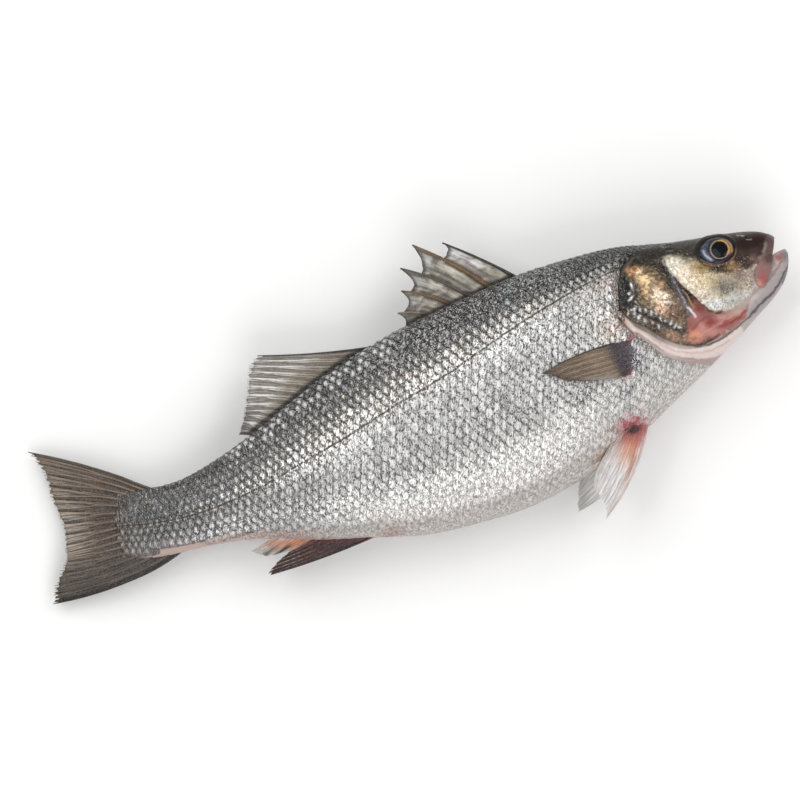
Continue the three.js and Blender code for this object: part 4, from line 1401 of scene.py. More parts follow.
edge *= (1 - smooth_belly) * (1 - 0.75 * ease((zone - 0.56) / 0.12) * ease((seat_x + 62) / 30))
print("share of calm scales", (calm > 0.5).mean().round(2))

# %% [markdown]
# Some places on the fish have a colour of their own: pink and cream behind the gill cover, a
# bruise at the breast fin, sore red skin at the belly fins, a fold, and the vent. Others are
# painted light and shade: a row of painted white glints under the back fins, a painted bluish
# gleam above the middle, and a painted shadow under the breast fin.

# %% Marks on the flank


def spot(middle, size, turn=0.0):
    """A soft oval patch on the scales."""
    return blot(seat_x, seat_y, middle, size, turn)


back_row = ease((-zone - 0.62) / 0.12) * ease((2 - seat_x) / 12) * ease((seat_x + 125) / 20)
# where a painted bluish gleam lies above the middle
bluish = spot((64, 43), (6, 2.2))
sore = 1.8 * spot((100, -45.4), (7, 3.8), -10) + 1.5 * spot((107.4, -20.4), (2.6, 1.5), 20)
sore += 0.9 * spot((114.4, -3.0), (2.2, 1.0), 20)
socket = 1.3 * spot((97.2, -48.6), (2.6, 1.6), 30)
vent = 0.8 * spot((-50, -54), (12, 3.6), 12)
FLANK_MARKS = [  # how strongly, colour of the dark net and of the bright heart
    (0.9 * smooth_belly, "#b5afa9", "#c7c1bb"),
    (0.9 * smooth_belly * ease((-70 - seat_x) / 30), "#b39d96", "#bfa9a2"),
    (spot((110, 7), (3, 5)) + 0.6 * spot((113, 31), (4, 4)), "#86584a", "#e3b09a"),
    (1.4 * spot((106, 1), (5, 5)) + 0.5 * spot((103, 15), (6, 10)), "#b5a791", "#fff6e4"),
    # painted shadow under the breast fin
    (0.7 * spot((84, -21.4), (9, 4), 15), "#2f2f2e", "#8f8e8b"),
    (1.8 * spot((112.6, -11), (3.6, 8), 20) + 0.8 * spot((104.4, -27), (3.4, 2.8)),
     "#33283a", "#6d6673"),
    (vent, "#96736e", "#a88681"),
    (0.8 * stroke([(94, -49.8), (84, -53.2), (75, -56.6)], seat_x, seat_y, 2.2),
     "#ab8471", "#c29c8b"),
    (0.85 * sore, "#ad5f66", "#b76c72"), (socket, "#3d181b", "#5a2a2c"),
    (0.75 * ease((tail_end + 5.5 - seat_x) / 6), "#463d35", "#8a7d70"),
]
edge *= 1 - np.clip(sore + socket + vent, 0, 1)
relief *= 1 - 0.6 * np.clip(sore + socket, 0, 1)
glitter *= 1 - 0.85 * np.clip(sore + socket + vent, 0, 1)
print(len(FLANK_MARKS), "marks, and", (back_row > 0.5).sum(), "scales in the row of glints")

# %% [markdown]
# A scale starts a little under the skin and rises towards its rear, so that the next ones lie
# under its free end. Each copy gets a small tilt and shift of its own, because a real fish is
# never quite regular.

# %% Place the scales of one flank
HEIGHT_FRONT, HEIGHT_REAR, THICKNESS = -0.4, 0.5, 0.22
OVERLAP = 2.25  # length of a scale in pitches
HIGHEST_GROUND = 0.6  # how far the head's relief may lift the scales beside it
chance = np.random.default_rng(11)


def scale_places(side, random):
    """Where every point of every scale of a flank goes."""
    x, reach, width, pitch, _ = seats.T[:, :, None]
    u, v = plate_along[None], plate_across[None]
    w = u * (0.5 + 0.5 * (1 - np.abs(v) ** 2.2) ** 0.5)
    back = OVERLAP * pitch * (0.4 - w)
    point_x = x + back + 0.1 * pitch * (random[:, 0] - 0.5)
    point_reach = reach + v * width * (0.96 - 0.18 * (1 - u) ** 2)
    height = HEIGHT_FRONT + (HEIGHT_REAR - HEIGHT_FRONT) * w + 0.14 * (1 - v * v) * w
    tip = (random[:, 1] - 0.5) * 0.26 * (w - 0.6) + (random[:, 2] - 0.5) * 0.2 * v * w
    height = (height + tip - np.where(plate_top, 0.0, THICKNESS)[None]) * relief[:, None]
    angle = girth_angle_at(point_x, point_reach)
    _, y, _ = skin_point(point_x, angle, 0.0)
    near_head = seat_x > HEAD_FROM - 6
    ground = np.zeros(point_x.shape)
    ground[near_head] = np.minimum(head_relief(point_x[near_head], y[near_head]), HIGHEST_GROUND)
    px, py, pz = skin_point(point_x, angle, height + ground)
    return lay(px, py, pz * side)


print("a scale reaches under the next ones for", round(OVERLAP - 1, 2), "pitches")

# %% [markdown]
# The heart of a scale is bright, its own silver painted with a glint, and the net of skin
# between the hearts is dark. Both colours come from the zones, with a slow drift and a breath of
# blue, pink or yellow on some scales. Then the marks of the flank are glazed over them.

# %% Colours of one flank


def scale_colours(random):
    """The values that each scale of a flank carries."""
    drift = 0.05 * cloud(seat_x, seat_y, 16.0, 8.0) + 0.09 * cloud(seat_x, seat_y, 5.0, 18.0)
    hue = random[:, 4]
    shimmer = (hue < 0.2) * np.array([-0.01, 0.0, 0.012])
    shimmer = shimmer + ((hue > 0.3) & (hue < 0.38)) * np.array([0.012, -0.003, 0.004])
    shimmer = shimmer + (hue > 0.95) * np.array([0.012, 0.004, -0.008])
    shimmer *= (1 + 1.4 * ease((0.05 - zone) / 0.15) - 0.7 * calm)[:, None]
    uneven = (1 - 0.7 * calm)[:, None]
    net = net_tone(seat_x, zone + drift) * (1 + 0.2 * (random[:, 3] - 0.5) * uneven)
    glow = heart_tone(seat_x, zone + drift) * (1.02 - 0.3 * random[:, 5] ** 2 * uneven) + shimmer
    for strength, dark, light in FLANK_MARKS:
        net, glow = glaze(net, strength, dark), glaze(glow, strength * 0.9, light)
    # painted glints: a row of white hearts under the back fins, and the painted bluish gleam
    glint = back_row * (random[:, 3, 0] > 0.3)
    glow = glow + (0.95 - glow) * glint[:, None]
    blue_glint = bluish * (random[:, 1, 0] > 0.5)
    glow = glow + (np.array([0.7, 0.83, 0.85]) - glow) * blue_glint[:, None]
    return {
        "tint": np.clip(net, 0, 0.95), "glow": np.clip(glow, 0, 0.97), "edge": edge,
        "calm": np.maximum(calm, glint), "glitter": np.maximum(glitter, 0.85 * glint),
        "full": np.maximum(fullness, np.maximum(glint * 0.3, 0.5 * blue_glint)),
        "pore": ((seats[:, 4] == 0) & (seat_x < 121)).astype(float),
    }


# %% [markdown]
# Each flank is made as two pieces, above and below the side line, which keeps every mesh light
# enough to handle. The plate itself is thrown away after its last copy.

# %% Both flanks
scale_pieces = []
for side, word in ((1, "right"), (-1, "left")):
    random = chance.random((len(seats), 6))[:, :, None]
    places, per_scale = scale_places(side, random), scale_colours(random)
    for part, pick in (("back", seats[:, 4] <= 0), ("belly", seats[:, 4] > 0)):
        piece = repeat(scale, f"{word}_{part}_scales", places[pick])
        for key, value in (("along", plate_along), ("across", plate_across)):
            mark(piece, key, np.tile(value, pick.sum()))
        for key, value in per_scale.items():
            mark(piece, key, np.repeat(value[pick], len(plate), axis=0))
        close_up(piece, gap=0, angle=38)
        scale_pieces.append(piece)
bpy.data.objects.remove(scale)
print([(piece.name, len(piece.data.polygons)) for piece in scale_pieces])

# %% [markdown]
# ## Finish of the scales
# The silver of a scale sits in its heart, painted bright as a glint that breaks into fine flecks,
# a thin painted glint runs round it as a ring, and the rim at the rear is dark. A picture of
# scales would not follow the plates. So every plate carries its own length and breadth, and the
# finish is drawn from them and scratched up by noise, stretched the same way all over the fish.

# %% Heart and ring of a scale
silver = bpy.data.materials.new("silver_scale")
tree, shell = principled(silver)
along, across, full, glitter, calm_skin = (
    stored(name) for name in ("along", "across", "full", "glitter", "calm"))
net, glow = stored("tint", "Color"), stored("glow", "Color")


def strokes(size_mm, detail, wide, tall, roughness=0.6):
    """Noise drawn out into short strokes that run with the picture."""
    return grain(size_mm, detail, (wide, tall, 1), roughness, CAMERA_TURN)


def oval(length, breadth):
    """Distance from the heart of a scale, 1 on an oval of these half sizes."""
    run = maths("DIVIDE", maths("SUBTRACT", along, 0.8), length)
    side = maths("DIVIDE", across, breadth)
    return maths("SQRT", maths("ADD", times(run, run), times(side, side)))


scratch = strokes(0.85, 4, 0.75, 1.9, 0.7)
heart_far = oval(between(full, 0, 1, 0.1, 0.27), between(full, 0, 1, 0.36, 1))
heart_far = maths("ADD", heart_far, between(scratch, 0.3, 0.7, -0.45, 0.45))
# the heart: the scale's own silver, painted bright as its glint
heart = between(heart_far, 0.2, 1.15, 1, 0)
# painted glint: a thin bright ring round the heart
ring = maths("ABSOLUTE", maths("SUBTRACT", oval(0.2, 0.7), 0.85))
ring = times(between(ring, 0.05, 0.3, 1, 0), between(scratch, 0.5, 0.62),
             between(full, 0.1, 0.5, 1, 0))
colour = mixed(maths("MAXIMUM", heart, ring), net, glow)
colour = mixed(times(ring, 0.75), colour, (0.62, 0.63, 0.65, 1))
print("heart and ring:", len(tree.nodes), "nodes")

# %% [markdown]
# The dark skin of the back is marked with black curls and with pale curls, which are painted
# glints. The hearts get their whitest sparks as painted highlights, a fine striping and a trace
# of rust.

# %% Curls, sparks and rust
back_skin = times(between(full, 0.05, 0.45, 1, 0), glitter)
curls = strokes(1.7, 2, 0.8, 1.4)
# painted glints: pale curls on the dark skin of the back
curl_glints = times(between(curls, 0.56, 0.63), back_skin)
colour = mixed(curl_glints, colour, (0.7, 0.71, 0.72, 1))
dark_curls = times(between(curls, 0.38, 0.46, 1, 0), back_skin)
colour = mixed(dark_curls, colour, dimmed(colour, 0.25))
# painted highlight: the whitest spark in each heart
spark = times(between(heart_far, 0.05, 0.65, 1, 0),
              between(full, 0.2, 0.42), between(full, 0.5, 0.95, 1, 0.6), glitter)
colour = mixed(spark, colour, (0.95, 0.94, 0.92, 1))
stripes = between(strokes(1.3, 2, 0.9, 8), 0.38, 0.62)
colour = mixed(1, colour, mixed(stripes, grey(0.68), grey(1.2)), "MULTIPLY")
rust = times(between(strokes(1.4, 3, 0.7, 2), 0.58, 0.66),
             between(full, 0.2, 0.5), between(full, 0.7, 0.95, 0.6, 0))
colour = mixed(rust, colour, (0.22, 0.13, 0.08, 1))
print("with curls, sparks and rust:", len(tree.nodes), "nodes")

# %% [markdown]
# Last come dark flecks and white flecks over all of it, the white ones a painted sparkle of the
# silver, the dark rim that parts a scale from the next, and the short dark dashes of the side
# line, one pore on each scale of that row.

# %% Flecks, rim and pores
flecks = between(scratch, 0.48, 0.59)
dark_fleck = times(flecks, between(calm_skin, 0, 1, 0.9, 0.36), glitter)
colour = mixed(dark_fleck, colour, dimmed(colour, 0.2))
# painted sparkle: white flecks of the silver
white_sparkle = times(between(strokes(0.65, 3, 0.75, 1.6, 0.7), 0.55, 0.64), glitter)
colour = mixed(white_sparkle, colour, (0.93, 0.93, 0.92, 1))
rim = times(between(along, 0.9, 0.99), between(across, -0.6, 0.3, 0.2, 1),
            stored("edge"), between(scratch, 0.3, 0.55))
colour = mixed(rim, colour, dimmed(net, 0.22))
pore = between(maths("ABSOLUTE", across), 0.06, 0.2, 0.95, 0)
pore = times(stored("pore"), pore, between(scratch, 0.31, 0.48))
colour = mixed(pore, colour, (0.07, 0.054, 0.04, 1))
plug(
    shell, Base_Color=colour, Roughness=between(flecks, 0, 1, 0.22, 0.45),
    Metallic=between(heart, 0, 1, 0.1, 0.4), Normal=bump(flecks, 0.08, 0.7),
    Specular_IOR_Level=0.2, Coat_Weight=0.06, Coat_Roughness=0.12,
)
for piece in scale_pieces:
    hand_over(piece, "scaled_skin", silver)

# %% [markdown]
# ## Fins
# A fin is a fan of bony rays with a thin web of skin between them. The web could be one flat
# sheet, but real fins show every ray as a ridge that splits towards the edge. So one panel of
# web and one ray are modelled, and copies are bent along each fin's own curves, which start
# on the fin's root line and end on its edge line.

# %% Root and edge lines of each fin


def over(a, b):
    """The higher of two heights, rounded where they meet."""
    return (a + b + np.sqrt((a - b) ** 2 + 2)) / 2


# The parts of a soft fin that many of them share. cut says how far the edge of a web is cut
# back between two rays, from one ray to the next.
SOFT = dict(thick=1.6, spread=0.25, cut=[(0, 0.01), (0.5, 0.03), (1, 0.01)])
UPRIGHT = dict(SOFT, bone=(0.62, 0.1), cut=[(0, 0.01), (0.5, 0.045), (1, 0.01)])
LOOSE = dict(SOFT, rays=6, bone=(0.7, 0.1), jag=0.3)
FOLDED = dict(SOFT, rays=9, bone=(0.6, 0.1), thick=1.5, bow=(-0.05, 0.03))
FINS = {
    "first_back_fin": dict(
        root=[(70, 50), (55.1, 48.6), (42.8, 48.7), (32, 48.2), (20, 47.4), (1, 45)],
        edge=[(36.2, 85.9), (20.3, 90.8), (9.5, 81.1), (5.5, 69.1), (-0.8, 58.3), (-0.2, 50)],
        bow=(-0.02, -0.08), rays=6, thick=2.2, spread=0.0, bone=(1.25, 0.5),
        stout=(0.85, 1.5, 1.0, 1.1, 0.85, 0.25), notch=(0.36, 0.27, 0.14, 0.14, 0.2),
        dip=(-0.04, 0.0, 0.09, 0.09, 0.1),
        cut=[(0, 0.03), (0.15, 0.3), (0.4, 0.68), (0.7, 0.93), (1, 1)],
        height=lambda x, y, s, t: 1.2 * np.sin(9 * t) * s,
    ),
    "second_back_fin": dict(
        UPRIGHT, rays=13, bow=(0.02, -0.05),
        root=[(-13.5, 44.6), (-40, 39), (-62, 33.5), (-80, 28.5), (-96, 22.5)],
        edge=[(-81.2, 65.2), (-86.6, 62.6), (-90.2, 57.3), (-93.8, 49.3), (-98.4, 40.5),
              (-100.9, 35.9), (-106.6, 28.2)],
        height=lambda x, y, s, t: -2.5 * s * s,
    ),
    "anal_fin": dict(
        UPRIGHT, rays=12, bow=(0.02, 0), jag=0.3,
        root=[(-53.5, -51.2), (-68, -47), (-82, -41.4), (-94, -35.4), (-104, -31)],
        edge=[(-118.6, -50.4), (-119.2, -48.4), (-112, -44.7), (-104.6, -41.9),
              (-116.6, -40.2), (-124, -34.5)],
        height=lambda x, y, s, t: 4 - 4 * s - 4 * s * t,
    ),
    "tail_fin": dict(
        root=[(-162, 12), (-178, 9), (-184, -4), (-178, -17), (-156, -22)],
        edge=[(-236.2, 39.8), (-229.1, 28.8), (-224.6, 12.9), (-219.1, -3), (-218.6, -15.9),
              (-219, -21.8), (-225.8, -35.6), (-227.4, -45.1)],
        bow=(-0.03, 0.05), rays=17, thick=2.2, spread=0.25, bone=(0.8, 0.2),
        cut=[(0, 0.008), (0.25, 0.03), (0.5, 0.012), (0.75, 0.03), (1, 0.008)],
        height=lambda x, y, s, t: 0.8 * np.sin(11 * t) * s + 0.35 * ease((0.2 - s) / 0.2),
    ),
    "right_belly_fin": dict(
        LOOSE, bow=(0.07, -0.04),
        root=[(104.8, -49.6), (96, -47.2), (84, -51.6)],
        edge=[(64.4, -89.4), (66.6, -83.4), (65.4, -76), (64.8, -71), (66.4, -66.6)],
        height=lambda x, y, s, t: over(9 + 5 * s - 4 * s * t, flank_height(x, y) + 4.4 * s) + 0.2,
    ),
    "left_belly_fin": dict(
        LOOSE, bow=(0.12, 0),
        root=[(102, -48), (97, -47), (91, -46.5)],
        edge=[(58, -79.6), (51.4, -80), (54.4, -73.4), (56.5, -68.6), (60.4, -63)],
        height=lambda x, y, s, t: -(8 + 5 * s - 4 * s * t),
    ),
    "right_breast_fin": dict(
        FOLDED, start=0.2,
        root=[(115.4, -3), (113.2, -9), (110.4, -15.6), (107.4, -20)],
        edge=[(60.6, -1.8), (62.4, -3), (69, -8.6), (79, -13.4), (89, -16.6)],
        height=lambda x, y, s, t: flank_height(x, y) + 0.2 + 0.9 * ease(s / 0.16) + 1.4 * s,
    ),
    "left_breast_fin": dict(
        FOLDED,
        root=[(117.4, -8), (114, -13), (109, -18.5), (105, -21)],
        edge=[(72, -40), (71, -43), (74, -47), (82, -48.6), (91, -43)],
        height=lambda x, y, s, t: -np.minimum(flank_height(x, y) + 0.9, MIDDLE_Z - 0.8),
    ),
}
print(len(FINS), "fins with", sum(fin["rays"] for fin in FINS.values()), "rays")

# %% [markdown]
# A fin is a curved patch with two shares: one from its first ray to its last, and one from its
# root to its edge. A pair of shares gives a place, bowed a little between root and edge, and
# the fin's own rule gives the height there.

# %% Places on a fin


def line_at(points, t):
    """A point of a drawn line at share t."""
    points = np.array(points, float)
    last = len(points) - 1
    run = np.clip(t, 0, 1) * last
    i = np.minimum(run.astype(int), last - 1)
    w = (run - i)[..., None]
    a, b = points[np.maximum(i - 1, 0)], points[i]
    c, d = points[i + 1], points[np.minimum(i + 2, last)]
    leave, arrive = (c - a) / 2, (d - b) / 2
    square, cube = 3 * (c - b) - 2 * leave - arrive, 2 * (b - c) + leave + arrive
    return b + leave * w + square * w**2 + cube * w**3


def fin_place(fin, t, share):
    """A place on a fin: t runs from the first ray to the last, share from root to edge."""
    start, end = line_at(fin["root"], t), line_at(fin["edge"], t)
    arc = 4 * share * (1 - share) * (fin["bow"][0] + (fin["bow"][1] - fin["bow"][0]) * t)
    x = start[..., 0] + (end - start)[..., 0] * share - (end - start)[..., 1] * arc
    y = start[..., 1] + (end - start)[..., 1] * share + (end - start)[..., 0] * arc
    return x, y


def fin_point(fin, t, share, above=0.0):
    """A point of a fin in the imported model, lifted by so many millimetres."""
    x, y = fin_place(fin, t, share)
    return lay(x, y, fin["height"](x, y, share, t) + above)


def rise(fin, t, share):
    """How far a place on a fin stands out of the body's outline, in millimetres."""
    x, y = fin_place(fin, t, share)
    return np.maximum(y - section(x, TOP), section(x, BOTTOM) - y)


tail_tip = fin_point(FINS["tail_fin"], np.zeros(1), np.ones(1))
print("upper tip of the tail, m", tail_tip.round(4))

# %% [markdown]
# The web panel is a grid thickened by a Solidify modifier. The ray is an eight-sided disc,
# extruded step by step into a closed rod.

# %% One web panel and one ray
PANEL_ACROSS, PANEL_ALONG = 9, 26
panel = add_grid("web_panel", PANEL_ACROSS, PANEL_ALONG)
thicken = panel.modifiers.new("thickness", "SOLIDIFY")
thicken.thickness, thicken.offset = 0.02, 0.0
bpy.ops.object.modifier_apply(modifier=thicken.name)
web = points_of(panel)
web_across, web_along, web_face = (web[:, 0] + 1) / 2, (web[:, 1] + 1) / 2, np.sign(web[:, 2])

ROD_STEPS = 16
rod = add_shape("one_ray", bpy.ops.mesh.primitive_circle_add, vertices=8, radius=1,
                fill_type="NGON")
bpy.ops.object.mode_set(mode="EDIT")
bpy.ops.mesh.select_all(action="SELECT")
for _ in range(ROD_STEPS):
    bpy.ops.mesh.extrude_region_move(TRANSFORM_OT_translate={"value": (0, 0, 1 / ROD_STEPS)})
bpy.ops.mesh.select_all(action="SELECT")
bpy.ops.mesh.normals_make_consistent(inside=False)
bpy.ops.object.mode_set(mode="OBJECT")
bone = points_of(rod)
bone_angle, bone_along = np.arctan2(bone[:, 1], bone[:, 0]), bone[:, 2]
print("panel", len(panel.data.polygons), "faces, ray", len(rod.data.polygons), "faces")

# %% [markdown]
# A soft ray is one rod at its root and splits twice on its way to the edge, like a twig. So
# every fin is given a list of rods, each with a start, an end and two thicknesses. The spines
# of the first back fin don't split.

# %% Rods of a fin


def ray_paths(fin, chance):
    """Start, end and thickness of every rod of a fin, in shares of the fin."""
    paths = []
    gap = 1 / (fin["rays"] - 1)
    thick, thin = fin["bone"]
    for k in range(fin["rays"]):
        t = k * gap
        if not fin["spread"]:
            paths.append((t, 0.0, t, 0.985, thick * fin["stout"][k], thin))
            continue
        edge_ray = k in (0, fin["rays"] - 1)
        split, again = 0.36 + 0.08 * chance.random(), 0.62 + 0.08 * chance.random()
        inward = [d for d in (-1, 1) if 0 <= t + d * 0.3 * gap <= 1]
        end, end_thick = (1.0, thin) if edge_ray else (split + 0.04, thick * 0.55)
        paths.append((t, 0.0, t, end, thick, end_thick))
        for d in inward:
            t2 = t + d * 0.24 * gap
            paths.append((t, split, t2, again + 0.04, thick * 0.5, thick * 0.36))
            for e in (-1, 1):
                t3 = np.clip(t2 + e * 0.125 * gap, 0, 1)
                paths.append((t2, again, t3, 1.0 - 0.03 * chance.random(), thick * 0.36, thin))
    return np.array(paths)


print("rods of the tail:", len(ray_paths(FINS["tail_fin"], np.random.default_rng(0))))

# %% [markdown]
# The webs are copies of the panel. Their outer edge is cut back and frayed, they sag a little
# between two rays, and they get thinner outwards. Each ring of a rod is set square to the ray,
# so that no rod looks squashed.

# %% Webs and rays
JAG_POINTS, JAG_DEPTH = 41, 0.03
WEB_SHARE = 0.22  # thickness of the web as a share of the thickness of the fin
SIDESTEP = 0.01  # how far to look for the directions along and across a ray


def web_places(fin, chance):
    """The two shares of every point of the webs, and where the points go."""
    count, soft = fin["rays"] - 1, bool(fin["spread"])
    t = (np.arange(count)[:, None] + web_across[None]) / count
    jag = JAG_DEPTH * chance.random((count, JAG_POINTS)) * fin.get("jag", 1 if soft else 0.3)
    rough = np.array([np.interp(web_across, np.linspace(0, 1, JAG_POINTS), row) for row in jag])
    notch = np.array(fin.get("notch", np.ones(count)))[:, None]
    dip = np.array(fin.get("dip", np.zeros(count)))[:, None] * np.sin(np.pi * web_across)
    cut = np.interp(web_across, *np.array(fin["cut"]).T)[None]
    share = web_along[None] * (1 - notch * cut - dip - rough)
    thickness = fin["thick"] * WEB_SHARE * (1 - 0.6 * share)
    sag = -0.35 * np.sin(np.pi * web_across)[None] * (1 - 0.5 * share) * (1 if soft else 2)
    return t, share, fin_point(fin, t, share, web_face[None] * thickness / 2 + sag)


def rod_places(fin, chance):
    """The two shares of every point of the rods, and where the points go."""
    t_from, from_share, t_to, to_share, thick, thin = ray_paths(fin, chance).T[:, :, None]
    from_share = np.maximum(from_share, fin.get("start", 0))
    u = bone_along[None]
    t = t_from + (t_to - t_from) * ease(u)
    share = np.clip(from_share + (to_share - from_share) * u, 0, 0.995)
    radius = thick + (thin - thick) * u**0.8
    t_next, t_last = np.clip(t + SIDESTEP, 0, 1), np.clip(t - SIDESTEP, 0, 1)
    further, nearer = np.clip(share + SIDESTEP, 0, 1), np.clip(share - SIDESTEP, 0, 1)
    aside = fin_point(fin, t_next, share) - fin_point(fin, t_last, share)
    ahead = fin_point(fin, t, further) - fin_point(fin, t, nearer)
    ahead /= np.linalg.norm(ahead, axis=-1, keepdims=True) + 1e-12
    aside -= ahead * (aside * ahead).sum(-1, keepdims=True)
    aside /= np.linalg.norm(aside, axis=-1, keepdims=True) + 1e-12
    aside *= (np.cos(bone_angle)[None] * radius)[..., None] * MM
    return t, share, fin_point(fin, t, share, np.sin(bone_angle)[None] * radius) + aside


print("a web of the tail is", round(2.2 * WEB_SHARE, 2), "mm thick at its root")

# %% [markdown]
# Webs and rods are painted by the same rule, which knows where each point lies on the fin, and
# are then joined into one piece.

# %% Put a fin together


def build_fin(name, fin, paint):
    """One finished fin: its webs and rods, painted and joined."""
    chance = np.random.default_rng(len(name))
    halves = []
    for is_bone, master, places in ((0, panel, web_places), (1, rod, rod_places)):
        t, share, points = places(fin, chance)
        piece = repeat(master, name + "_rays" * is_bone, points)
        close_up(piece, gap=0, angle=50)
        across = np.broadcast_to(0.5 if is_bone else web_across, t.shape)
        outward = share if is_bone else np.broadcast_to(web_along, t.shape)
        bony, out = np.full(t.shape, float(is_bone)), rise(fin, t, share)
        mark(piece, "tint", paint(*(v.ravel() for v in (t, share, across, bony, outward, out))))
        mark(piece, "lines", LINES_ON[name] * (1 - bony.ravel()))
        mark(piece, "ray_place", t.ravel() * (fin["rays"] - 1))
        mark(piece, "share", share.ravel())
        mark(piece, "bone", bony.ravel())
        halves.append(piece)
    alone(halves[0])
    halves[1].select_set(True)
    bpy.ops.object.join()
    return halves[0]


print("ready to build", len(FINS), "fins")

# %% [markdown]
# Each fin gets its own colours. The first back fin has clear grey webs between dark and amber
# spines, and the soft one behind it is pale outside and brown at its root. A paint rule gets a
# point's shares t along the fin and s from root to edge, its place a across one web, whether it
# is bone, its place e along the web, and how far out of the body it stands.

# %% Paint of the back fins


def paint_first_back(t, s, a, bone, e, out):
    """Grey webs between spines that each have their own colour."""
    place = t * 5
    number = np.clip(place.astype(int), 0, 4)
    web = 1 - bone
    spine = np.rint(place)
    streak = near(a, 0.1, 0.08) + near(a, 0.9, 0.12)
    return layers(t, [
        (1, "#a09a90"), (web * near(a, 0.32, 0.2) * ease((0.85 - s) / 0.5), "#e0dac8"),
        (web * near(a, 0.64, 0.07) * ease((s - 0.15) / 0.2) * 0.7, "#5f584d"),
        (web * near(a, 0.24, 0.05) * 0.6, "#efe9d8"),
        (web * near(a, 0.45, 0.3) * ease((s - 0.5) / 0.3) * 0.7, "#b4b7b8"),
        (web * streak * 0.85, "#433c33"),
        (web * (number == 0) * near(a, 0.42, 0.3) * ease((s - 0.2) / 0.3) * 0.85, "#eae7e8"),
        (web * ease(1.4 * cloud(t * 60, s * 40, 2.6, 4.4) - 0.1) * 0.55, "#5b554b"),
        # painted highlights mottled over the webs
        (web * ease(1.4 * cloud(t * 60, s * 40, 3.4, 9.1) - 0.1) * 0.6, "#f2eee4"),
        (web * (number == 4) * 0.6, "#746c60"),
        (ease((3 - out) / 2) * 0.95, "#2b221b"), (near(out, 7, 3) * web * 0.3, "#5d5145"),
        (bone * (spine == 0), "#35312e"), (bone * (spine == 1), "#7c6040"),
        (bone * (spine == 2), "#5f5a50"), (bone * (spine == 3), "#7a5d44"),
        (bone * (spine >= 4), "#8f8779"), (bone * ease((4 - out) / 3) * 0.8, "#2d241c"),
        (bone * (spine < 4) * ease((s - 0.93) / 0.04), "#191614"),
        (web * ease((e - 0.94) / 0.04) * 0.85, "#2a2623"),
    ])


def paint_second_back(t, s, a, bone, e, out):
    """Pale webs, brown at the root."""
    web = 1 - bone
    return layers(t, [
        (1, "#aa9f91"), (web * ease((s - 0.34) / 0.3) * 0.9, "#e2dfd9"),
        (web * near(a, 0.5, 0.28) * ease((s - 0.4) / 0.3) * 0.8, "#f6f4f0"),
        (web * (near(a, 0.08, 0.09) + near(a, 0.92, 0.09)) * 0.7, "#4b443b"),
        (bone * 0.6, "#736a5e"), (ease((0.36 - s) / 0.25) * 0.6, "#8c7b66"),
        (ease((3.6 - out) / 2) * 0.95, "#211a14"), (ease((0.07 - t) / 0.05) * 0.85, "#38322b"),
        (ease((t - 0.5) / 0.4) * ease((s - 0.6) / 0.3) * 0.4, "#4b463f"),
        (ease((t - 0.94) / 0.04) * 0.7, "#4a3f34"),
        (web * ease((e - 0.95) / 0.04) * 0.3, "#5a544c"),
    ])


# %% [markdown]
# The anal fin is folded: its dark front lies in bars, its middle is rust, its rear pale. The
# tail is brown-grey between dark rays, pale near its edge and black along its lower side.

# %% Paint of the anal fin and the tail


def paint_anal(t, s, a, bone, e, out):
    """Dark and barred in front, rust in the middle, pale behind."""
    web = 1 - bone
    forward = ease((0.59 - t) / 0.08)
    bars = ease((np.sin(s * 75) - 0.1) / 0.5)
    return layers(t, [
        (1, "#d8d3cf"), (ease((0.85 - s) / 0.5) * ease((out + 1) / 3), "#e3a384"),
        (near(t, 0.68, 0.1) * ease((1 - s) / 0.4) * 0.9, "#de9670"), (forward, "#33130f"),
        (web * near(t, 0.5, 0.09) * ease((0.7 - s) / 0.3) * 0.6, "#8a5040"),
        (web * near(a, 0.5, 0.2) * forward * ease((s - 0.25) / 0.3) * 0.7, "#9a6556"),
        (web * near(a, 0.5, 0.3) * forward * ease((s - 0.55) / 0.15) * (1 - bars) * 0.85,
         "#cdc1ad"),
        (forward * ease((0.4 - s) / 0.3) * 0.6, "#4a1c1e"), (near(t, 0.04, 0.05) * 0.8, "#1d1412"),
        (near(t, 0.84, 0.03) * ease((s - 0.45) / 0.3) * 0.6, "#4b3934"),
        (near(t, 0.72, 0.03) * ease((s - 0.4) / 0.3) * 0.8, "#2e211e"),
        (ease((2 - out) / 1.6) * ease((0.6 - t) / 0.1) * 0.8, "#6b2e2f"),
    ])


def paint_tail(t, s, a, bone, e, out):
    """Brown-grey, pale near the edge, black along the lower side."""
    web = 1 - bone
    split = near((a * 4) % 1, 0.5, 0.2)
    return layers(t, [
        (1, "#735d4b"), (near(t, 0.5, 0.36) * ease((s - 0.45) / 0.35) * 0.9, "#dbd0c2"),
        (web * (near(a, 0, 0.1) + near(a, 1, 0.1)) * ease((0.85 - s) / 0.5) * 0.9, "#1e1814"),
        (web * ease((0.6 - s) / 0.35) * 0.5, "#1b1511"),
        (web * near(a, 0.5, 0.08) * ease((s - 0.35) / 0.2) * 0.8, "#261f1a"),
        (web * split * ease((s - 0.5) / 0.3) * 0.6, "#1f1915"),
        (bone * 0.45, "#a08c78"), (near(a, 0.25, 0.1) * ease((s - 0.6) / 0.3) * 0.4, "#d0c4b3"),
        (ease((t - 0.58) / 0.3) * 0.6, "#48413c"),
        (ease((t - 0.93) / 0.05) * 0.9, "#181412"), (ease((0.05 - t) / 0.04) * 0.6, "#3a3129"),
        (ease((0.15 - s) / 0.15) * 0.5, "#3c3833"),
        (web * ease((e - 0.97) / 0.03) * 0.35, "#2b2420"),
    ])


print("the anal fin and the tail have their paint")

# %% [markdown]
# The belly fins are white and blood-red at the root. The breast fin lies against the flank,
# so thin that the silver shows through as a cool grey near its tip.

# %% Paint of the belly and breast fins


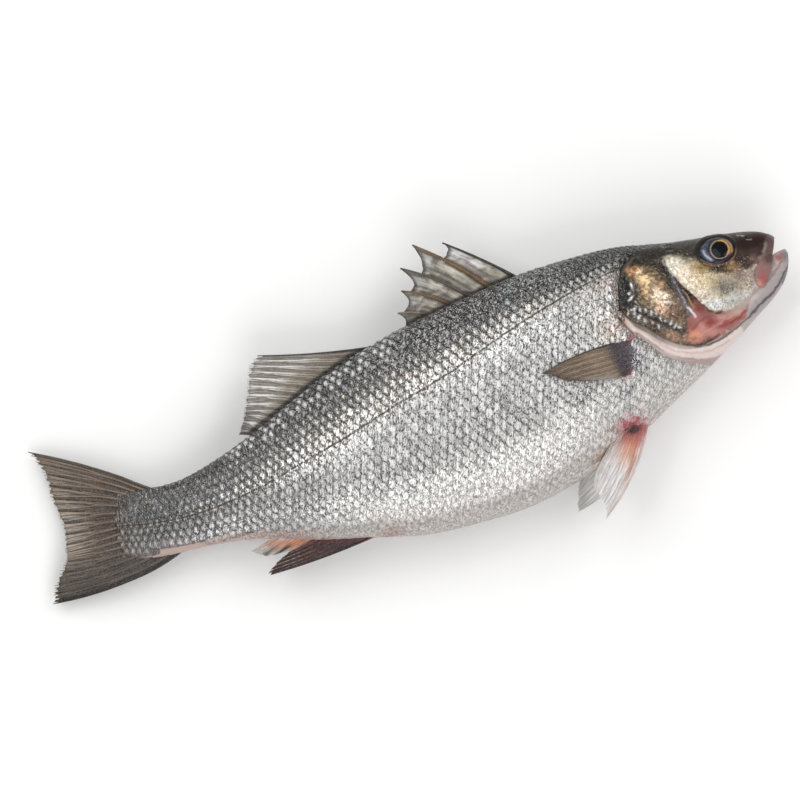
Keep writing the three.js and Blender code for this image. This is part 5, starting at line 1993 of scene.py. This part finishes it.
def paint_right_belly(t, s, a, bone, e, out):
    """White, blood-red at the root."""
    web = 1 - bone
    return layers(t, [
        (1, "#e6e2e1"), (web * near(a, 0.5, 0.25) * ease((s - 0.3) / 0.4) * 0.6, "#f4f2f2"),
        (bone * 0.5, "#d2c9c7"),
        (ease((0.62 - s) / 0.4) * ease((0.8 - t) / 0.5) * ease((t - 0.06) / 0.14) * 0.8, "#e0906f"),
        (near(t, 0.14, 0.06) * ease((0.75 - s) / 0.3) * ease((s - 0.25) / 0.15) * 0.6, "#a3654c"),
        (ease((0.3 - s) / 0.2) * ease((0.9 - t) / 0.4) * 0.8, "#b8605a"),
        (ease((t - 0.72) / 0.28) * ease((0.6 - s) / 0.5) * 0.85, "#c3aca4"),
        (1.5 * near(s, 0.04, 0.05) * near(t, 0.4, 0.16), "#2c1719"),
        (near(t, 0, 0.1) * ease((s - 0.04) / 0.1) * 0.85, "#dfccc6"),
    ])


def paint_left_belly(t, s, a, bone, e, out):
    """White."""
    web = 1 - bone
    return layers(t, [
        (1, "#edebe8"), (web * near(a, 0.5, 0.25) * 0.5, "#f5f3f0"), (bone * 0.4, "#c8c4c0"),
        (ease((e - 0.8) / 0.15) * 0.4, "#a19d98"), (ease((0.4 - s) / 0.3) * 0.4, "#d0bab4"),
    ])


def paint_breast(t, s, a, bone, e, out):
    """Brown and clear, with red at its last rays."""
    web = 1 - bone
    return layers(t, [
        (1, "#8e7962"), (web * near(a, 0.5, 0.3) * 0.5, "#b0987d"), (bone * 0.5, "#6b5947"),
        (web * (near(a, 0.05, 0.07) + near(a, 0.95, 0.07)) * 0.6, "#34291f"),
        (ease((t - 0.55) / 0.3) * ease((s - 0.25) / 0.3) * 0.75, "#b8aea4"),
        (ease((s - 0.8) / 0.2) * 0.6, "#3a3027"),
        (ease((0.06 - t) / 0.05) * 0.85, "#2a211b"), (ease((0.34 - s) / 0.16) * 0.9, "#332735"),
        (ease((0.12 - s) / 0.08) * 0.5, "#8d8890"),
        (near(t, 0, 0.1) * ease((0.12 - s) / 0.06) * 0.7, "#8a3431"),
        (near(t, 1, 0.13) * ease((0.2 - s) / 0.1), "#b53a40"),
    ])


LINES_ON = {  # how strongly fine dark lines show between the rays
    "first_back_fin": 0.3, "second_back_fin": 0.7, "anal_fin": 0.55, "tail_fin": 0.9,
    "right_belly_fin": 0.25, "left_belly_fin": 0.25, "right_breast_fin": 0.7,
    "left_breast_fin": 0.7,
}
PAINTS = {
    "first_back_fin": paint_first_back, "second_back_fin": paint_second_back,
    "anal_fin": paint_anal, "tail_fin": paint_tail, "right_belly_fin": paint_right_belly,
    "left_belly_fin": paint_left_belly, "right_breast_fin": paint_breast,
    "left_breast_fin": paint_breast,
}

print(len(PAINTS), "fins have their paint")

# %% [markdown]
# ## Finish of the fins
# A wet web is a film with fibres and fine dark lines that fan out with the rays, and the rays
# have joints like bamboo. A flat texture would cross the rays at an angle, so fibres, lines and
# joints are drawn in the fin's own two shares.

# %% Finish of the fins
FIBRES, LINES_PER_WEB, JOINTS = 9, 3, 260
web_skin = bpy.data.materials.new("fin_web")
tree, film = principled(web_skin)
base = stored("tint", "Color")
ray_place, share = stored("ray_place"), stored("share")
streaks = node("ShaderNodeCombineXYZ", X=times(ray_place, FIBRES),
               Y=times(share, 5)).outputs[0]
fibre = node("ShaderNodeTexNoise", Vector=streaks, Scale=1, Detail=3).outputs[0]
fibre = between(fibre, 0.35, 0.65)
combed = maths("ADD", times(ray_place, 2 * np.pi * LINES_PER_WEB),
               times(grain(7, 1), 5))
combed = times(between(maths("SINE", combed), -0.3, 0.5), stored("lines"),
               between(grain(3, 2), 0.35, 0.6, 0.5, 1))
spots = between(grain(0.8, 3), 0.4, 0.7)
joints = maths("SINE", times(share, JOINTS))
joints = times(between(joints, 0.5, 1), stored("bone"))
colour = mixed(times(fibre, 0.55), base, dimmed(base, 0.4))
colour = mixed(combed, colour, dimmed(base, 0.08))
colour = mixed(times(spots, 0.16), colour, mixed(0.5, base, grey(0.9)))
colour = mixed(times(joints, 0.35), colour, dimmed(base, 0.4))
plug(
    film, Base_Color=colour, Roughness=between(spots, 0, 1, 0.28, 0.45),
    Normal=bump(maths("SUBTRACT", fibre, joints), 0.1, 0.8),
    Specular_IOR_Level=0.3, Coat_Weight=0.15, Coat_Roughness=0.15,
)
print("finish of the fins:", len(tree.nodes), "nodes")

# %% Build the fins
for name, fin in FINS.items():
    hand_over(build_fin(name, fin, PAINTS[name]), "fin", web_skin)
for master in (panel, rod):
    bpy.data.objects.remove(master)
